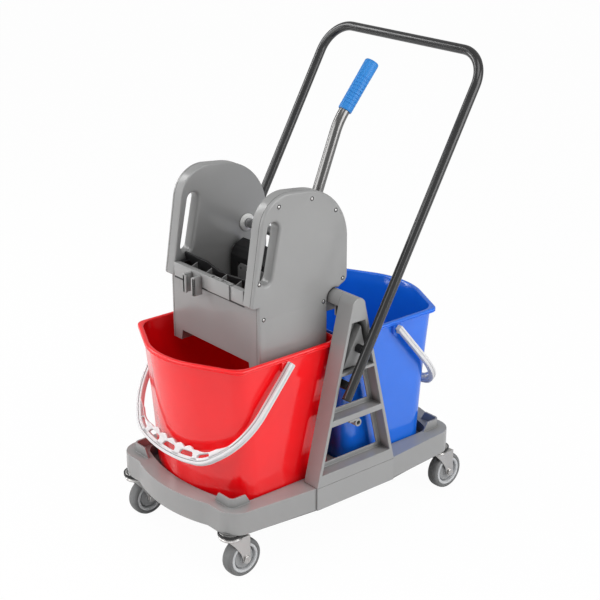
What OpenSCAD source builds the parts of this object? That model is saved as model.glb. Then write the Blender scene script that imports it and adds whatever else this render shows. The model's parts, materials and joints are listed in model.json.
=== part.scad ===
// Double mop bucket trolley with a lever wringer, in millimetres.
// Floor at z = 0, +Z up, the push handle at +Y, the wringer and the red bucket at -Y.

/* [Casters] */
// Diameter of a wheel
wheel_d = 75; // [65:1:85]
// Width of the tyre
tyre_w = 24; // [18:1:26]
// Thickness of the tyre from rim to tread
tyre_t = 8; // [5:0.5:11]
// Thickness of the fork's pressed plates
fork_t = 2.5; // [2:0.5:4]
// Diameter of the axle bolt
axle_d = 8; // [6:1:10]
// Distance of the axle behind the swivel axis
caster_trail = 23; // [15:1:30]
// Distance of a swivel axis from the long centre line
caster_x = 150; // [140:1:152]
// Distance of a swivel axis from the cross centre line
caster_y = 262; // [252:1:264]
// Gap between the tyre and the fork's crown
tyre_gap = 8; // [7:1:14]
// Diameter of the stem in the base
stem_d = 12; // [10:1:14]
// Length of the stem in the base
stem_l = 26; // [18:1:32]

/* [Base tray] */
// Half length of the base at its bowed ends
base_half_l = 302; // [296:1:310]
// Half length of the base at its corners
base_end_l = 282; // [280:1:288]
// Half width of the base at its corners
base_end_w = 180; // [176:1:186]
// Half width of the bowed part of an end
base_bow_w = 108; // [90:1:120]
// Radius of the base's corners
base_corner_r = 42; // [36:1:46]
// Height of the skirt
skirt_h = 45; // [40:1:52]
// Thickness of the base's walls
base_wall = 4; // [3:0.5:5]
// Depth of the wells that hold the buckets
well_depth = 24; // [18:1:30]
// Height of the corner posts above the deck
post_h = 18; // [12:1:24]
// Thickness of the corner posts
post_t = 4; // [3:0.5:5]

/* [Buckets] */
// Width of a bucket below its rim
bucket_w = 302; // [290:1:308]
// Length of a bucket below its rim
bucket_l = 288; // [276:1:290]
// Height of a bucket
bucket_h = 285; // [260:1:300]
// How far the bowed end of a bucket bulges
bucket_bow = 54; // [44:1:60]
// Bow of the bucket's outer end at its foot
foot_bow = 26; // [20:1:32]
// Radius of the corners at the bowed end
bucket_corner_r = 30; // [24:1:36]
// Radius of the corners at the inner end
bucket_inner_r = 28; // [22:1:34]
// Draft of the sides, over the whole height
draft_side = 6; // [4:0.5:9]
// Draft of the bowed end, over the whole height
draft_bow = 36; // [34:1:38]
// Draft of the inner end, over the whole height
draft_inner = 9; // [6:0.5:12]
// Thickness of a bucket's wall
bucket_wall = 2.6; // [2:0.1:3.5]
// How far the rolled rim stands out
bead_t = 3; // [2:0.5:4]
// Height of the rolled rim
bead_h = 8; // [6:0.5:10]
// Space between the rims of the two buckets
rim_space = 6; // [4:1:10]

/* [Bails] */
// Distance of a bail's pivot from the cross centre line
bail_y = 136.5; // [132:0.5:142]
// Depth of the pivot under the rim
bail_drop = 21.5; // [20.5:0.5:23]
// Length of the straight part of a bail's arms
bail_straight = 91; // [86:1:96]
// Lean of a resting bail from the vertical
bail_lean = 40.5; // [40.5:0.5:44]
// Width of a bail's arms
bail_t = 12; // [11:0.5:14]
// Thickness of a bail
bail_w = 11.5; // [10:0.5:12]
// Thickness of the grip's plate
grip_plate = 6; // [5:0.5:6]
// Depth of the channel in a bail's faces
bail_channel = 2.5; // [1.5:0.5:3]
// Height of the grip under its finger bumps
grip_h = 26; // [25:0.5:26]
// Length of the grip's holes
grip_hole_l = 36; // [30:1:40]
// Height of the grip's holes
grip_hole_h = 14; // [11:0.5:15]
// Diameter of the pivot pins
bail_pin_d = 8; // [6:0.5:9]

/* [Side frames] */
// Space between a bucket's rim and a side frame
frame_gap = 5; // [4:0.5:7]
// Width of a side frame
frame_w = 38; // [34:0.5:42]
// Half length of a side frame at its foot
frame_foot = 97; // [92:1:102]
// Height of a side frame
frame_h = 351; // [345:1:365]
// Half thickness of the cross beam
beam_r = 16; // [14:0.5:17]
// Thickness of a frame's legs and sill
leg_t = 7; // [5:0.5:9]
// Thickness of the inner web
web_t = 4; // [3:0.5:5]
// Width of the web's ledge round an opening
ledge_w = 9; // [6:0.5:12]
// Thickness of the cross beam's walls
beam_wall = 3.5; // [2.5:0.5:4.5]

/* [Push handle] */
// Diameter of the handle's tube
tube_d = 18; // [16:0.5:20]
// Wall of the handle's tube
tube_wall = 1.5; // [1.2:0.1:2]
// Length of a leg up to the grip bar
handle_len = 671; // [640:1:700]
// Lean of the handle from the vertical
handle_lean = 29.7; // [28:0.1:31]
// Radius of the handle's bends
handle_bend = 60; // [45:1:80]
// Space between a side frame and the handle's tube
handle_gap = 5.5; // [4:0.5:8]

/* [Wringer housing] */
// Half width of the wringer outside
panel_x = 131; // [126:0.5:136]
// Thickness of a side housing
panel_w = 28; // [26:0.5:30]
// Thickness of a housing's cover
cover_w = 7; // [6:0.5:8]
// Thickness of the housings' walls
shell_t = 3; // [2.5:0.5:3.5]
// Height of the housings above the beam's axis
panel_up = 218; // [212:1:226]
// Depth of the housings below the beam's axis
panel_down = 111; // [100:1:118]
// Width of the hand slots
hand_slot_w = 19; // [17:1:22]
// Play between the housings and the beam
notch_gap = 1; // [0.6:0.1:1.5]
// Space between the jaws of the handle clip
clip_space = 22; // [19:0.5:24]

/* [Wringer drive] */
// Diameter of the lever's shaft
shaft_d = 18; // [16:0.5:20]
// Tooth size of the gears
gear_m = 2.25; // [2.1:0.05:2.4]
// Face width of the gears
gear_w = 10; // [8:0.5:12]
// Diameter of the press axle
press_pin_d = 14; // [12:0.5:16]
// Half width of the press
press_half_w = 97; // [90:0.5:100]
// Length of the press below its axle
press_down = 106; // [96:1:110]
// Distance of the lever from the centre line
lever_x = 60; // [45:1:70]
// Length of the lever's straight part
lever_len = 222; // [200:1:240]
// Lean of the resting lever from the vertical
lever_lean = 22; // [18:0.5:26]
// Bend of the lever's upper part
lever_bend = 21; // [15:0.5:26]
// Diameter of the lever's grip
lever_grip_d = 25; // [23:0.5:28]
// Length of the lever's grip
lever_grip_l = 113; // [95:1:125]

/* [Hidden] */

$fn = 48;
eps = 0.5;
run_fit = 0.05;
swivel_gap = 0.3;

// Colours of the materials
grey = [0.62, 0.62, 0.61];
red = [0.85, 0.05, 0.05];
blue = [0.05, 0.2, 0.75];
pale = [0.88, 0.88, 0.88];
dark = [0.2, 0.2, 0.2];
black = [0.06, 0.06, 0.06];
zinc = [0.75, 0.76, 0.78];
rubber = [0.4, 0.4, 0.41];
grip_blue = [0.2, 0.55, 0.85];

// Casters: heights from the floor upwards
wheel_r = wheel_d / 2;
rim_r = wheel_r - tyre_t;
hub_half = tyre_w / 2 + 1;
fork_in = hub_half + 1;
fork_out = fork_in + fork_t;
crown_z = wheel_d + tyre_gap;
crown_h = 9;
crown_r = 22;
dust_t = 5;
king_r = 5;
king_head_t = 4;
king_head_r = 9;
pad_z = crown_z + crown_h + swivel_gap + dust_t;

// Base tray: the casters' dust rings close its corners from below
skirt_z = pad_z;
deck_z = skirt_z + skirt_h;
boss_r = stem_d / 2 + 6;
boss_gap = 0.1;
well_gap = 2.5;
post_slope = 11;
post_r = 12;
post_front = 38;
post_side = 33;
mid_step = 3.5;

// Buckets: body and rim, and the corner posts outside them
bucket_z = deck_z - well_depth;
rim_z = bucket_z + bucket_h;
body_in = rim_space / 2 + bead_t;
body_out = body_in + bucket_l;
deck_level = well_depth / bucket_h;
post_x = bucket_w / 2 - (1 - deck_level) * draft_side + well_gap + 6;
post_y = body_out - (1 - deck_level) * draft_bow + 2;
ear_w = 20;
ear_t = 6.5;

// Bails: the arms run outside the ears
bail_z = rim_z - bail_drop;
ear_x = bucket_w / 2 + ear_t;
ear_in = bucket_w / 2 - bucket_wall + 0.3;
bail_in = ear_x + 2;
bail_out = bail_in + bail_t;
bail_end = 13;
bail_rim = 2.5;
bail_face = 9;
pin_l = 9;
shoulder_r = 150;
shoulder_a = 45;
shoulder_l = 12;
elbow_r = 85;
elbow_a = 77;
shoulder_c = [bail_out - shoulder_r, bail_straight];
elbow_c = shoulder_c + (shoulder_r - elbow_r) * [cos(shoulder_a), sin(shoulder_a)]
  + shoulder_l * [-sin(shoulder_a), cos(shoulder_a)];
grip_r = elbow_c[0] / cos(elbow_a) + elbow_r;
grip_c = [0, elbow_c[1] - (grip_r - elbow_r) * sin(elbow_a)];
grip_from = 32;
grip_foot = bail_straight + 20;
grip_elbow = 0.72;
grip_mid = 14;
grip_pitch = 50;
grip_side_a = 62;
finger_pitch = 25;
finger_r = 14;
finger_h = 5;

// Side frames and the beam between them
frame_x = bucket_w / 2 + bead_t + frame_gap;
frame_out = frame_x + frame_w;
beam_z = deck_z + frame_h - beam_r;
web_x = frame_x + 9;
sill_z = deck_z + 23;
rung_z = deck_z + 114;
rung_t = 12;
shelf_z = deck_z + 208;
shelf_t = 6;
cap_z = deck_z + 306;
beam_front_z = beam_z - 6;
beam_rear_z = beam_z - 29;
beam_rib_t = 4;
beam_ribs = 12;
beam_bay = 2 * frame_x / beam_ribs;

// Push handle: the foot of its legs, beside the front leg of a side frame
tube_r = tube_d / 2;
handle_x = frame_out + handle_gap + tube_r;
handle_y = -40;
handle_z = deck_z + 170;
spacer_at = [22, 93];
spacer_r = 8;
bolt_r = 3;
bolt_head_r = 5.5;
bolt_head_t = 3;
plug_t = 3;

// Accessory socket under the lower rung
socket_r = 7.5;
socket_bore_r = 4;
socket_l = 20;
socket_lug = 22;
socket_neck = 2;

// Wringer housings: points measured from the beam's axis
panel_in = panel_x - panel_w;
seam_x = panel_x - cover_w;
panel_top = beam_z + panel_up;
panel_foot = beam_z - panel_down;
rear_y = 31;
rear_r = 106;
top_slope = 6.2;
heel_r = 16;
heel_z = beam_z + 20;
toe_y = -189;
toe_z = beam_z + 41;
toe_lean = 9;
toe_r = 12;
step_z = beam_z + 20;
low_y = -177;
brow_r = 62;
front_t = 3.5;
notch_r = beam_r + notch_gap;

// Hand slot, along the front edge
slot_up = [-141, beam_z + 158];
slot_low = [-159, beam_z + 72];

// Cover screws
screw_at = [[-130, beam_z + 197], [-55, beam_z + 197], [1, beam_z + 165], [-175, beam_z + 65],
  [19, beam_z + 32], [-166, beam_z - 3], [-27, beam_z - 3], [-160, beam_z - 90], [-34, beam_z - 90]];
screw_r = 1.8;
screw_head_r = 3.6;
screw_head_t = 1.6;
screw_boss_r = 5;
screw_l = 14;

// Lever shaft, gears and the press axle
shaft_r = shaft_d / 2;
shaft_y = -18;
shaft_z = beam_z + 89;
pinion_n = 16;
sector_n = 32;
gear_dir = 58;
gear_far = gear_m * (pinion_n + sector_n) / 2;
press_y = shaft_y - gear_far * cos(gear_dir);
press_z = shaft_z - gear_far * sin(gear_dir);
press_r = press_pin_d / 2;
gear_x = panel_in + shell_t + 3;
bush_wall = 4;
bush_flange = 3;
bush_flange_t = 2.5;
shaft_end = gear_x + gear_w + 2;
sector_hub_r = press_r + 5;
sector_from = -1;
sector_to = 4;

// Press, sieve and rear panel
press_front = -16;
press_plate_t = 7;
press_rise = 20;
pad_half_w = press_half_w - 24;
pad_low = -press_down + 10;
pad_high = -17;
pad_t = 5;
pad_seat = 3;
jaw_top = [-165, beam_z + 60];
jaw_low = [-137, beam_z - 79];
jaw_t = 4;
jaw_rib_t = 3.5;
jaw_rib_h = 6;
jaw_dip = 9;
hook_gap = 0.3;
hook_t = 4;
rear_front = -beam_r - 7.5;

// Front rail with its clip and slot box
rail_y = -190;
rail_t = 12;
rail_wall = 3;
rail_top = beam_z + 48;
clip_x = -34;
clip_t = 6;
clip_out = 18;
clip_h = 35;
box_x = [2, 66];
box_out = 2.5;

// Lever
hub_w = 28;
hub_r = shaft_r + 6;
socket_out = 42;
socket_from = shaft_r + 7;
lever_r = 9;
lever_bend_r = 55;
bend_swell = 0.3;
bend_over = 1;
lever_upper = 12;
lever_cap = 4;

// Overall reach front and back: half the difference centres the trolley on its frame
front_reach = base_half_l;
rear_reach = caster_y + caster_trail + wheel_r;
frame_shift_y = (front_reach - rear_reach) / 2;

// Points on an arc, from one angle to another
function arc(c, r, a0, a1, n) = [
  for (i = [0 : n])
    let (a = a0 + (a1 - a0) * i / n)
    c + r * [cos(a), sin(a)]];

// The outline of a long hole with round ends, round the origin
function long_hole(l, h) = concat(
  arc([(l - h) / 2, 0], h / 2, -90, 90, 8),
  arc([(h - l) / 2, 0], h / 2, 90, 270, 8));

// A list of points in reverse order
function turned(p) = [for (i = [len(p) - 1 : -1 : 0]) p[i]];

// One piece: its colour and its place in the frame
module piece(c) translate([0, frame_shift_y, 0]) color(c) children();

// Extrudes a (y, z) outline along X
module along_x(x0, x1) translate([x0, 0, 0]) rotate([90, 0, 90]) linear_extrude(x1 - x0) children();

// A cylinder along X round (y, z)
module rod_x(x0, x1, r, y, z) translate([x0, y, z]) rotate([0, 90, 0]) cylinder(r = r, h = x1 - x0);

// The same piece on the other side
module left_side() mirror([1, 0, 0]) children();

module both_sides() {
  children();
  left_side() children();
}

// A quarter of the base's outline, drawn in by d
function base_quarter(d) =
  let (rise = base_half_l - base_end_l)
  let (r = (base_bow_w * base_bow_w + rise * rise) / (2 * rise))
  let (half = asin(base_bow_w / r))
  concat(
    arc([0, -base_half_l + r], r - d, -90, -90 + half, 8),
    arc([base_end_w - base_corner_r, -base_end_l + base_corner_r], base_corner_r - d, -90, 0, 8),
    [[frame_out - mid_step - d, -frame_foot + 1], [frame_out - d, -frame_foot]]);

// The base's outline from its four quarters
function base_outline(d) =
  let (q = base_quarter(d))
  let (n = len(q) - 1)
  concat(
    q,
    turned([for (p = q) [p[0], -p[1]]]),
    [for (i = [1 : n]) -q[i]],
    turned([for (i = [1 : n]) [-q[i][0], q[i][1]]]));

// A bucket's outline at a level, 0 at the foot and 1 at the rim, drawn in by d, bowed towards +Y
function bucket_line(t, d) =
  let (w = bucket_w / 2 - (1 - t) * draft_side)
  let (bow = foot_bow + t * (bucket_bow - foot_bow))
  let (r = (w * w + bow * bow) / (2 * bow))
  let (c = bow_centre(t))
  let (f = bucket_corner_r)
  let (fy = corner_centre(t)[1])
  let (fa = atan2(fy - c, w - f))
  let (g = bucket_inner_r)
  let (gy = body_in + (1 - t) * draft_inner + g)
  concat(
    arc([w - g, gy], g - d, -90, 0, 8),
    arc([w - f, fy], f - d, 0, fa, 6),
    arc([0, c], r - d, fa + 2, 178 - fa, 18),
    arc([f - w, fy], f - d, 180 - fa, 180, 6),
    arc([g - w, gy], g - d, 180, 270, 8));

// The bow's centre at a level
function bow_centre(t) =
  let (w = bucket_w / 2 - (1 - t) * draft_side)
  let (bow = foot_bow + t * (bucket_bow - foot_bow))
  body_out - (1 - t) * draft_bow - (w * w + bow * bow) / (2 * bow);

// The centre of the outer corner's round at a level
function corner_centre(t) =
  let (w = bucket_w / 2 - (1 - t) * draft_side)
  let (c = bow_centre(t))
  let (r = body_out - (1 - t) * draft_bow - c)
  let (f = bucket_corner_r)
  [w - f, c + sqrt((r - f) * (r - f) - (w - f) * (w - f))];

// A block from the bucket's bottom up to its rim, drawn in by d: its bow grows with the height
module drafted(d, z0) {
  low = bucket_line(z0 / bucket_h, d);
  high = bucket_line(1, d);
  n = len(low);
  polyhedron(
    concat([for (p = low) [p[0], p[1], z0]], [for (p = high) [p[0], p[1], bucket_h]]),
    concat(
      [[for (i = [0 : n - 1]) i]],
      [[for (i = [n - 1 : -1 : 0]) n + i]],
      [for (i = [0 : n - 1]) [i, n + i, (i + 1) % n]],
      [for (i = [0 : n - 1]) [(i + 1) % n, n + i, n + (i + 1) % n]]));
}

// Places a child at each bucket's end of the trolley
module both_ends() {
  children();
  rotate([0, 0, 180]) children();
}

// Base tray

// A well's outline, wider than the bucket's by d
module well_shape(d) polygon(bucket_line(deck_level, -d));

// One leg of a corner post, l long on the deck, its free end sloped
module post_leg(l) translate([0, post_t, 0]) rotate([90, 0, 0]) linear_extrude(post_t)
  polygon([[0, 0], [l, 0], [l - post_slope, post_h + eps], [0, post_h + eps]]);

// A wall round an outer corner of the well: two legs and a rounded corner
module corner_post() translate([post_x - post_r, post_y - post_r, deck_z - eps]) {
  rotate_extrude(angle = 90) translate([post_r - post_t, 0]) square([post_t, post_h + eps]);
  translate([eps, post_r - post_t, 0]) mirror([1, 0, 0]) post_leg(post_front);
  translate([post_r - post_t, eps, 0]) rotate([0, 0, -90]) post_leg(post_side);
}

// Stiffening ribs under the deck
module deck_ribs() {
  for (x = [-base_end_w + 60, -40, 40, base_end_w - 60])
    translate([x - 1.5, -24, skirt_z + 8]) cube([3, 48, skirt_h - 8 - base_wall + eps]);
  for (y = [-60, 0, 60])
    translate([0, y - 1.5, skirt_z + 8])
      for (s = [-1, 1])
        translate([s > 0 ? bucket_w / 2 - 6 : -frame_out + base_wall - eps, 0, 0])
          cube([frame_out - base_wall + eps - bucket_w / 2 + 6, 3, skirt_h - 8 - base_wall + eps]);
}

module base_tray() piece(grey) difference() {
  union() {
    difference() {
      translate([0, 0, skirt_z]) linear_extrude(skirt_h) polygon(base_outline(0));
      translate([0, 0, skirt_z - eps])
        linear_extrude(skirt_h - base_wall + eps) polygon(base_outline(base_wall));
    }
    both_ends() translate([0, 0, bucket_z - base_wall])
      linear_extrude(well_depth + base_wall - eps) well_shape(well_gap + base_wall);
    deck_ribs();
    both_ends() both_sides() corner_post();
    both_ends() both_sides() translate([caster_x, caster_y, pad_z])
      cylinder(r = boss_r, h = deck_z - pad_z - eps);
    both_ends() both_sides() translate([caster_x, caster_y, pad_z]) cylinder(r = boss_r + 5, h = 4);
  }
  both_ends() translate([0, 0, bucket_z]) linear_extrude(well_depth + post_h + eps) well_shape(well_gap);
  both_ends() both_sides()
    translate([caster_x, caster_y, pad_z - eps]) cylinder(r = stem_d / 2 + boss_gap, h = stem_l + 1 + eps);
  both_sides() for (y = foot_screw_y) translate([foot_screw_x, y, skirt_z])
    cylinder(r = foot_screw_r + boss_gap, h = skirt_h + eps);
}

// Screws through the deck into the side frames' feet
foot_screw_x = frame_x + frame_w / 2;
foot_screw_y = [-75, 75];
foot_screw_r = 3;
foot_screw_in = 14;

module frame_screws() piece(zinc) both_sides() for (y = foot_screw_y) translate([foot_screw_x, y, 0]) {
  translate([0, 0, deck_z - base_wall]) cylinder(r = foot_screw_r, h = base_wall + foot_screw_in);
  translate([0, 0, deck_z - base_wall - 3]) cylinder(r = 6, h = 3);
}

// Side frames

// Half width of the frame's outline at a height
function frame_y(z) = frame_foot - (frame_foot - beam_r) * (z - deck_z) / (beam_z - deck_z);

module frame_outline() polygon(concat(
  [[-frame_foot, deck_z], [frame_foot, deck_z]],
  arc([0, beam_z], beam_r, 0, 180, 16)));

// An opening between two heights, drawn in by d from the legs and rungs
module frame_opening(z0, z1, d) polygon([
  [-frame_y(z0 + d) + leg_t + d, z0 + d],
  [frame_y(z0 + d) - leg_t - d, z0 + d],
  [frame_y(z1 - d) - leg_t - d, z1 - d],
  [-frame_y(z1 - d) + leg_t + d, z1 - d]]);

// A point on the handle's axis, a distance up from its foot
function handle_at(s) = [handle_y + s * sin(handle_lean), handle_z + s * cos(handle_lean)];

module side_frame() difference() {
  union() {
    along_x(frame_x, frame_out) difference() {
      frame_outline();
      frame_opening(sill_z, rung_z, 0);
      frame_opening(rung_z + rung_t, shelf_z, 0);
      frame_opening(shelf_z + shelf_t, cap_z, 0);
    }
    along_x(web_x, web_x + web_t) difference() {
      frame_outline();
      frame_opening(sill_z, rung_z, ledge_w);
      frame_opening(rung_z + rung_t, shelf_z, ledge_w);
    }
    for (s = spacer_at) rod_x(web_x, web_x + web_t, spacer_r + 5, handle_at(s)[0], handle_at(s)[1]);
  }
  for (s = spacer_at)
    rod_x(web_x - eps, web_x + web_t + eps, bolt_r + run_fit, handle_at(s)[0], handle_at(s)[1]);
  for (y = foot_screw_y) translate([foot_screw_x, y, deck_z - eps])
    cylinder(r = foot_screw_r + run_fit, h = foot_screw_in + 1 + eps);
}

module side_frame_right() piece(grey) side_frame();
module side_frame_left() piece(grey) left_side() side_frame();

// Cross beam: a round-topped channel, its front lip shorter, ribbed inside
module beam_shape(d, front, rear) polygon(concat(
  [[-beam_r + d, front], [beam_r - d, rear]],
  arc([0, beam_z], beam_r - d, 0, 180, 16)));

module cross_beam() piece(grey) difference() {
  union() {
    along_x(-frame_x, frame_x) beam_shape(0, beam_front_z, beam_rear_z);
    for (i = [0 : beam_ribs - 1])
      translate([beam_bay * (i + 0.5) - frame_x - beam_rib_t / 2, -beam_r + beam_wall, beam_rear_z])
        cube([beam_rib_t, 2 * beam_r - 2 * beam_wall, beam_front_z - beam_rear_z + beam_r / 2]);
  }
  for (i = [0 : beam_ribs])
    along_x(
      i == 0 ? -frame_x - eps : -frame_x + (i - 0.5) * 2 * frame_x / beam_ribs + beam_rib_t / 2,
      i == beam_ribs ? frame_x + eps : -frame_x + (i + 0.5) * 2 * frame_x / beam_ribs - beam_rib_t / 2)
      polygon(concat(
        [[-beam_r + beam_wall, beam_front_z - 20], [-beam_r - eps, beam_front_z - eps - 20],
         [-beam_r - eps, beam_rear_z - 20], [beam_r - beam_wall, beam_rear_z - 20]],
        arc([0, beam_z], beam_r - beam_wall, 0, 180, 16)));
}

// Push handle

// Stands a piece on the handle's lean
module on_lean() translate([0, handle_y, handle_z]) rotate([-handle_lean, 0, 0]) children();

// The bent run of the tube with a given radius
module handle_run(r) {
  both_sides() translate([handle_x, 0, 0]) cylinder(r = r, h = handle_len - handle_bend);
  both_sides() translate([handle_x - handle_bend, 0, handle_len - handle_bend]) rotate([90, 0, 0])
    rotate_extrude(angle = 90) translate([handle_bend, 0]) circle(r = r);
  translate([-handle_x + handle_bend, 0, handle_len]) rotate([0, 90, 0])
    cylinder(r = r, h = 2 * (handle_x - handle_bend));
}

module push_handle() piece(dark) difference() {
  on_lean() handle_run(tube_r);
  on_lean() handle_run(tube_r - tube_wall);
  both_sides() for (s = spacer_at)
    rod_x(handle_x - tube_r - eps, handle_x, bolt_r + run_fit, handle_at(s)[0], handle_at(s)[1]);
}

module handle_plugs() piece(black) on_lean() both_sides() translate([handle_x, 0, 0]) {
  translate([0, 0, -plug_t]) cylinder(r = tube_r, h = plug_t);
  cylinder(r = tube_r - tube_wall - run_fit, h = 10);
}

// Spacers, hollowed at the outer end to seat the tube
module handle_spacers() piece(black) both_sides() difference() {
  for (s = spacer_at)
    rod_x(web_x + web_t, handle_x - tube_r + 2, spacer_r, handle_at(s)[0], handle_at(s)[1]);
  for (s = spacer_at)
    rod_x(web_x, handle_x, bolt_r + run_fit, handle_at(s)[0], handle_at(s)[1]);
  on_lean() translate([handle_x, 0, -60]) cylinder(r = tube_r + run_fit, h = 300);
}

module handle_bolts() piece(zinc) both_sides() for (s = spacer_at) {
  rod_x(web_x - bolt_head_t, web_x, bolt_head_r, handle_at(s)[0], handle_at(s)[1]);
  rod_x(web_x - eps, handle_x - tube_r + tube_wall + 3, bolt_r, handle_at(s)[0], handle_at(s)[1]);
}

// Small tube under the lower rung, for hanging a sign or a cloth ring
socket_y = 3;
socket_z = rung_z - socket_neck - socket_r;

module accessory_socket() piece(grey) both_sides() difference() {
  union() {
    rod_x(frame_out - socket_l, frame_out, socket_r, socket_y, socket_z);
    translate([frame_out - socket_l, socket_y - socket_lug, rung_z - socket_neck - 2])
      cube([socket_l, socket_lug + 3, socket_neck + 2]);
    along_x(frame_out - 8, frame_out - 5)
      polygon([[socket_y - socket_lug, rung_z - 2], [socket_y, rung_z - 2], [socket_y, socket_z],
        [socket_y - 8, socket_z]]);
  }
  rod_x(frame_out - socket_l - eps, frame_out + eps, socket_bore_r, socket_y, socket_z);
}

// Casters, drawn at the floor with the swivel axis on the Z axis and the axle behind it

module stem() {
  translate([0, 0, pad_z]) cylinder(r = stem_d / 2, h = stem_l);
  translate([0, 0, pad_z - dust_t]) cylinder(r = crown_r, h = dust_t);
  translate([0, 0, crown_z - swivel_gap]) cylinder(r = king_r, h = pad_z - crown_z);
  translate([0, 0, crown_z - swivel_gap - king_head_t]) cylinder(r = king_head_r, h = king_head_t);
}

// One leg of the fork: wide at the crown, narrowing to the axle
module fork_leg_shape() {
  polygon([[-crown_r + 4, crown_z + 3], [crown_r - 2, crown_z + 3], [caster_trail + 10, wheel_r + 14],
    [caster_trail + 9, wheel_r], [caster_trail - 9, wheel_r], [-crown_r + 4, crown_z - 8]]);
  translate([caster_trail, wheel_r]) circle(r = 9);
}

module fork() difference() {
  union() {
    translate([0, 0, crown_z]) cylinder(r = crown_r, h = crown_h);
    translate([-fork_out, -crown_r + 4, crown_z]) cube([2 * fork_out, 2 * crown_r - 6, 3]);
    both_sides() along_x(fork_in, fork_out) fork_leg_shape();
  }
  translate([0, 0, crown_z - eps]) cylinder(r = king_r + run_fit, h = crown_h + 2 * eps);
  rod_x(-fork_out - eps, fork_out + eps, axle_d / 2 + run_fit, caster_trail, wheel_r);
}

module axle() {
  rod_x(-fork_out - 6, fork_out + 2, axle_d / 2, caster_trail, wheel_r);
  rod_x(fork_out, fork_out + 4, axle_d / 2 + 3, caster_trail, wheel_r);
  translate([-fork_out - 5, caster_trail, wheel_r]) rotate([0, 90, 0])
    cylinder(r = axle_d / 2 + 3, h = 5, $fn = 6);
}

// Turns a profile (radius, x) round the axle
module round_axle() translate([0, caster_trail, wheel_r]) rotate([0, 90, 0]) rotate_extrude() children();

module hub() round_axle() polygon([
  [axle_d / 2 + run_fit, -hub_half], [10, -hub_half], [11, -hub_half + 4], [rim_r - 5, -hub_half + 5],
  [rim_r - 4, -tyre_w / 2 + 1], [rim_r, -tyre_w / 2 + 1], [rim_r, tyre_w / 2 - 1],
  [rim_r - 4, tyre_w / 2 - 1], [rim_r - 5, hub_half - 5], [11, hub_half - 4], [10, hub_half],
  [axle_d / 2 + run_fit, hub_half]]);

tyre_round = 6;

module tyre() round_axle() polygon(concat(
  [[rim_r, -tyre_w / 2 + 1], [rim_r + 1, -tyre_w / 2]],
  arc([wheel_r - tyre_round, -tyre_w / 2 + tyre_round], tyre_round, -90, 0, 6),
  arc([wheel_r - tyre_round, tyre_w / 2 - tyre_round], tyre_round, 0, 90, 6),
  [[rim_r + 1, tyre_w / 2], [rim_r, tyre_w / 2 - 1]]));

module at_fl() translate([-caster_x, -caster_y, 0]) children();
module at_fr() translate([caster_x, -caster_y, 0]) children();
module at_rl() translate([-caster_x, caster_y, 0]) children();
module at_rr() translate([caster_x, caster_y, 0]) children();

module stem_fl() piece(zinc) at_fl() stem();
module fork_fl() piece(zinc) at_fl() fork();
module axle_fl() piece(zinc) at_fl() axle();
module hub_fl() piece(pale) at_fl() hub();
module tyre_fl() piece(rubber) at_fl() tyre();
module stem_fr() piece(zinc) at_fr() stem();
module fork_fr() piece(zinc) at_fr() fork();
module axle_fr() piece(zinc) at_fr() axle();
module hub_fr() piece(pale) at_fr() hub();
module tyre_fr() piece(rubber) at_fr() tyre();
module stem_rl() piece(zinc) at_rl() stem();
module fork_rl() piece(zinc) at_rl() fork();
module axle_rl() piece(zinc) at_rl() axle();
module hub_rl() piece(pale) at_rl() hub();
module tyre_rl() piece(rubber) at_rl() tyre();
module stem_rr() piece(zinc) at_rr() stem();
module fork_rr() piece(zinc) at_rr() fork();
module axle_rr() piece(zinc) at_rr() axle();
module hub_rr() piece(pale) at_rr() hub();
module tyre_rr() piece(rubber) at_rr() tyre();

// Buckets

// An ear under the rim: a hollow box with the bail's bore through its outer wall
module ear() difference() {
  translate([ear_in, bail_y - ear_w / 2, bail_z - ear_w / 2])
    cube([ear_x - ear_in, ear_w, ear_w / 2 + bail_drop - bead_h / 2]);
  rod_x(ear_in - eps, ear_x + eps, bail_pin_d / 2 + run_fit, bail_y, bail_z);
}

module bucket() {
  difference() {
    union() {
      translate([0, 0, bucket_z]) drafted(0, 0);
      translate([0, 0, rim_z - bead_h]) linear_extrude(bead_h) polygon(bucket_line(1, -bead_t));
    }
    translate([0, 0, bucket_z]) drafted(bucket_wall, bucket_wall);
    translate([0, 0, rim_z - eps]) linear_extrude(2 * eps) polygon(bucket_line(1, bucket_wall));
    both_sides() rod_x(bucket_w / 2 - 2 * draft_side, ear_x, bail_pin_d / 2 + run_fit, bail_y, bail_z);
  }
  both_sides() ear();
}

module blue_bucket() piece(blue) bucket();
module red_bucket() piece(red) rotate([0, 0, 180]) bucket();

// Bails, drawn flat: pivot at the origin, arms along +Y, grip across

// The right half of the loop's edge, drawn in by d: arm, shoulder, elbow and arched grip
function bail_edge(d) = concat(
  [[bail_out - d, -bail_end]],
  arc(shoulder_c, shoulder_r - d, 0, shoulder_a, 8),
  arc(elbow_c, elbow_r - d, shoulder_a, elbow_a, 6),
  arc(grip_c, grip_r - d, elbow_a, 90, 4));

// The right half of the grip's inner edge, which leaves the shoulder and deepens towards the elbow
function grip_edge() = concat(
  [for (i = [0 : 4])
    let (a = grip_from + (shoulder_a - grip_from) * i / 4)
    let (d = bail_t + (grip_elbow * grip_h - bail_t) * i / 4)
    shoulder_c + (shoulder_r - d) * [cos(a), sin(a)]],
  [for (i = [1 : 5])
    let (a = shoulder_a + (elbow_a - shoulder_a) * i / 5)
    let (d = grip_h * (grip_elbow + (1 - grip_elbow) * i / 5))
    elbow_c + (elbow_r - d) * [cos(a), sin(a)]],
  arc(grip_c, grip_r - grip_h, elbow_a, 90, 4));

// A whole edge from its right half
function whole_edge(half) = concat(half, [for (i = [len(half) - 2 : -1 : 0]) [-half[i][0], half[i][1]]]);

// A band between two edges
module band(outer, inner) polygon(concat(whole_edge(outer), turned(whole_edge(inner))));

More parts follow.
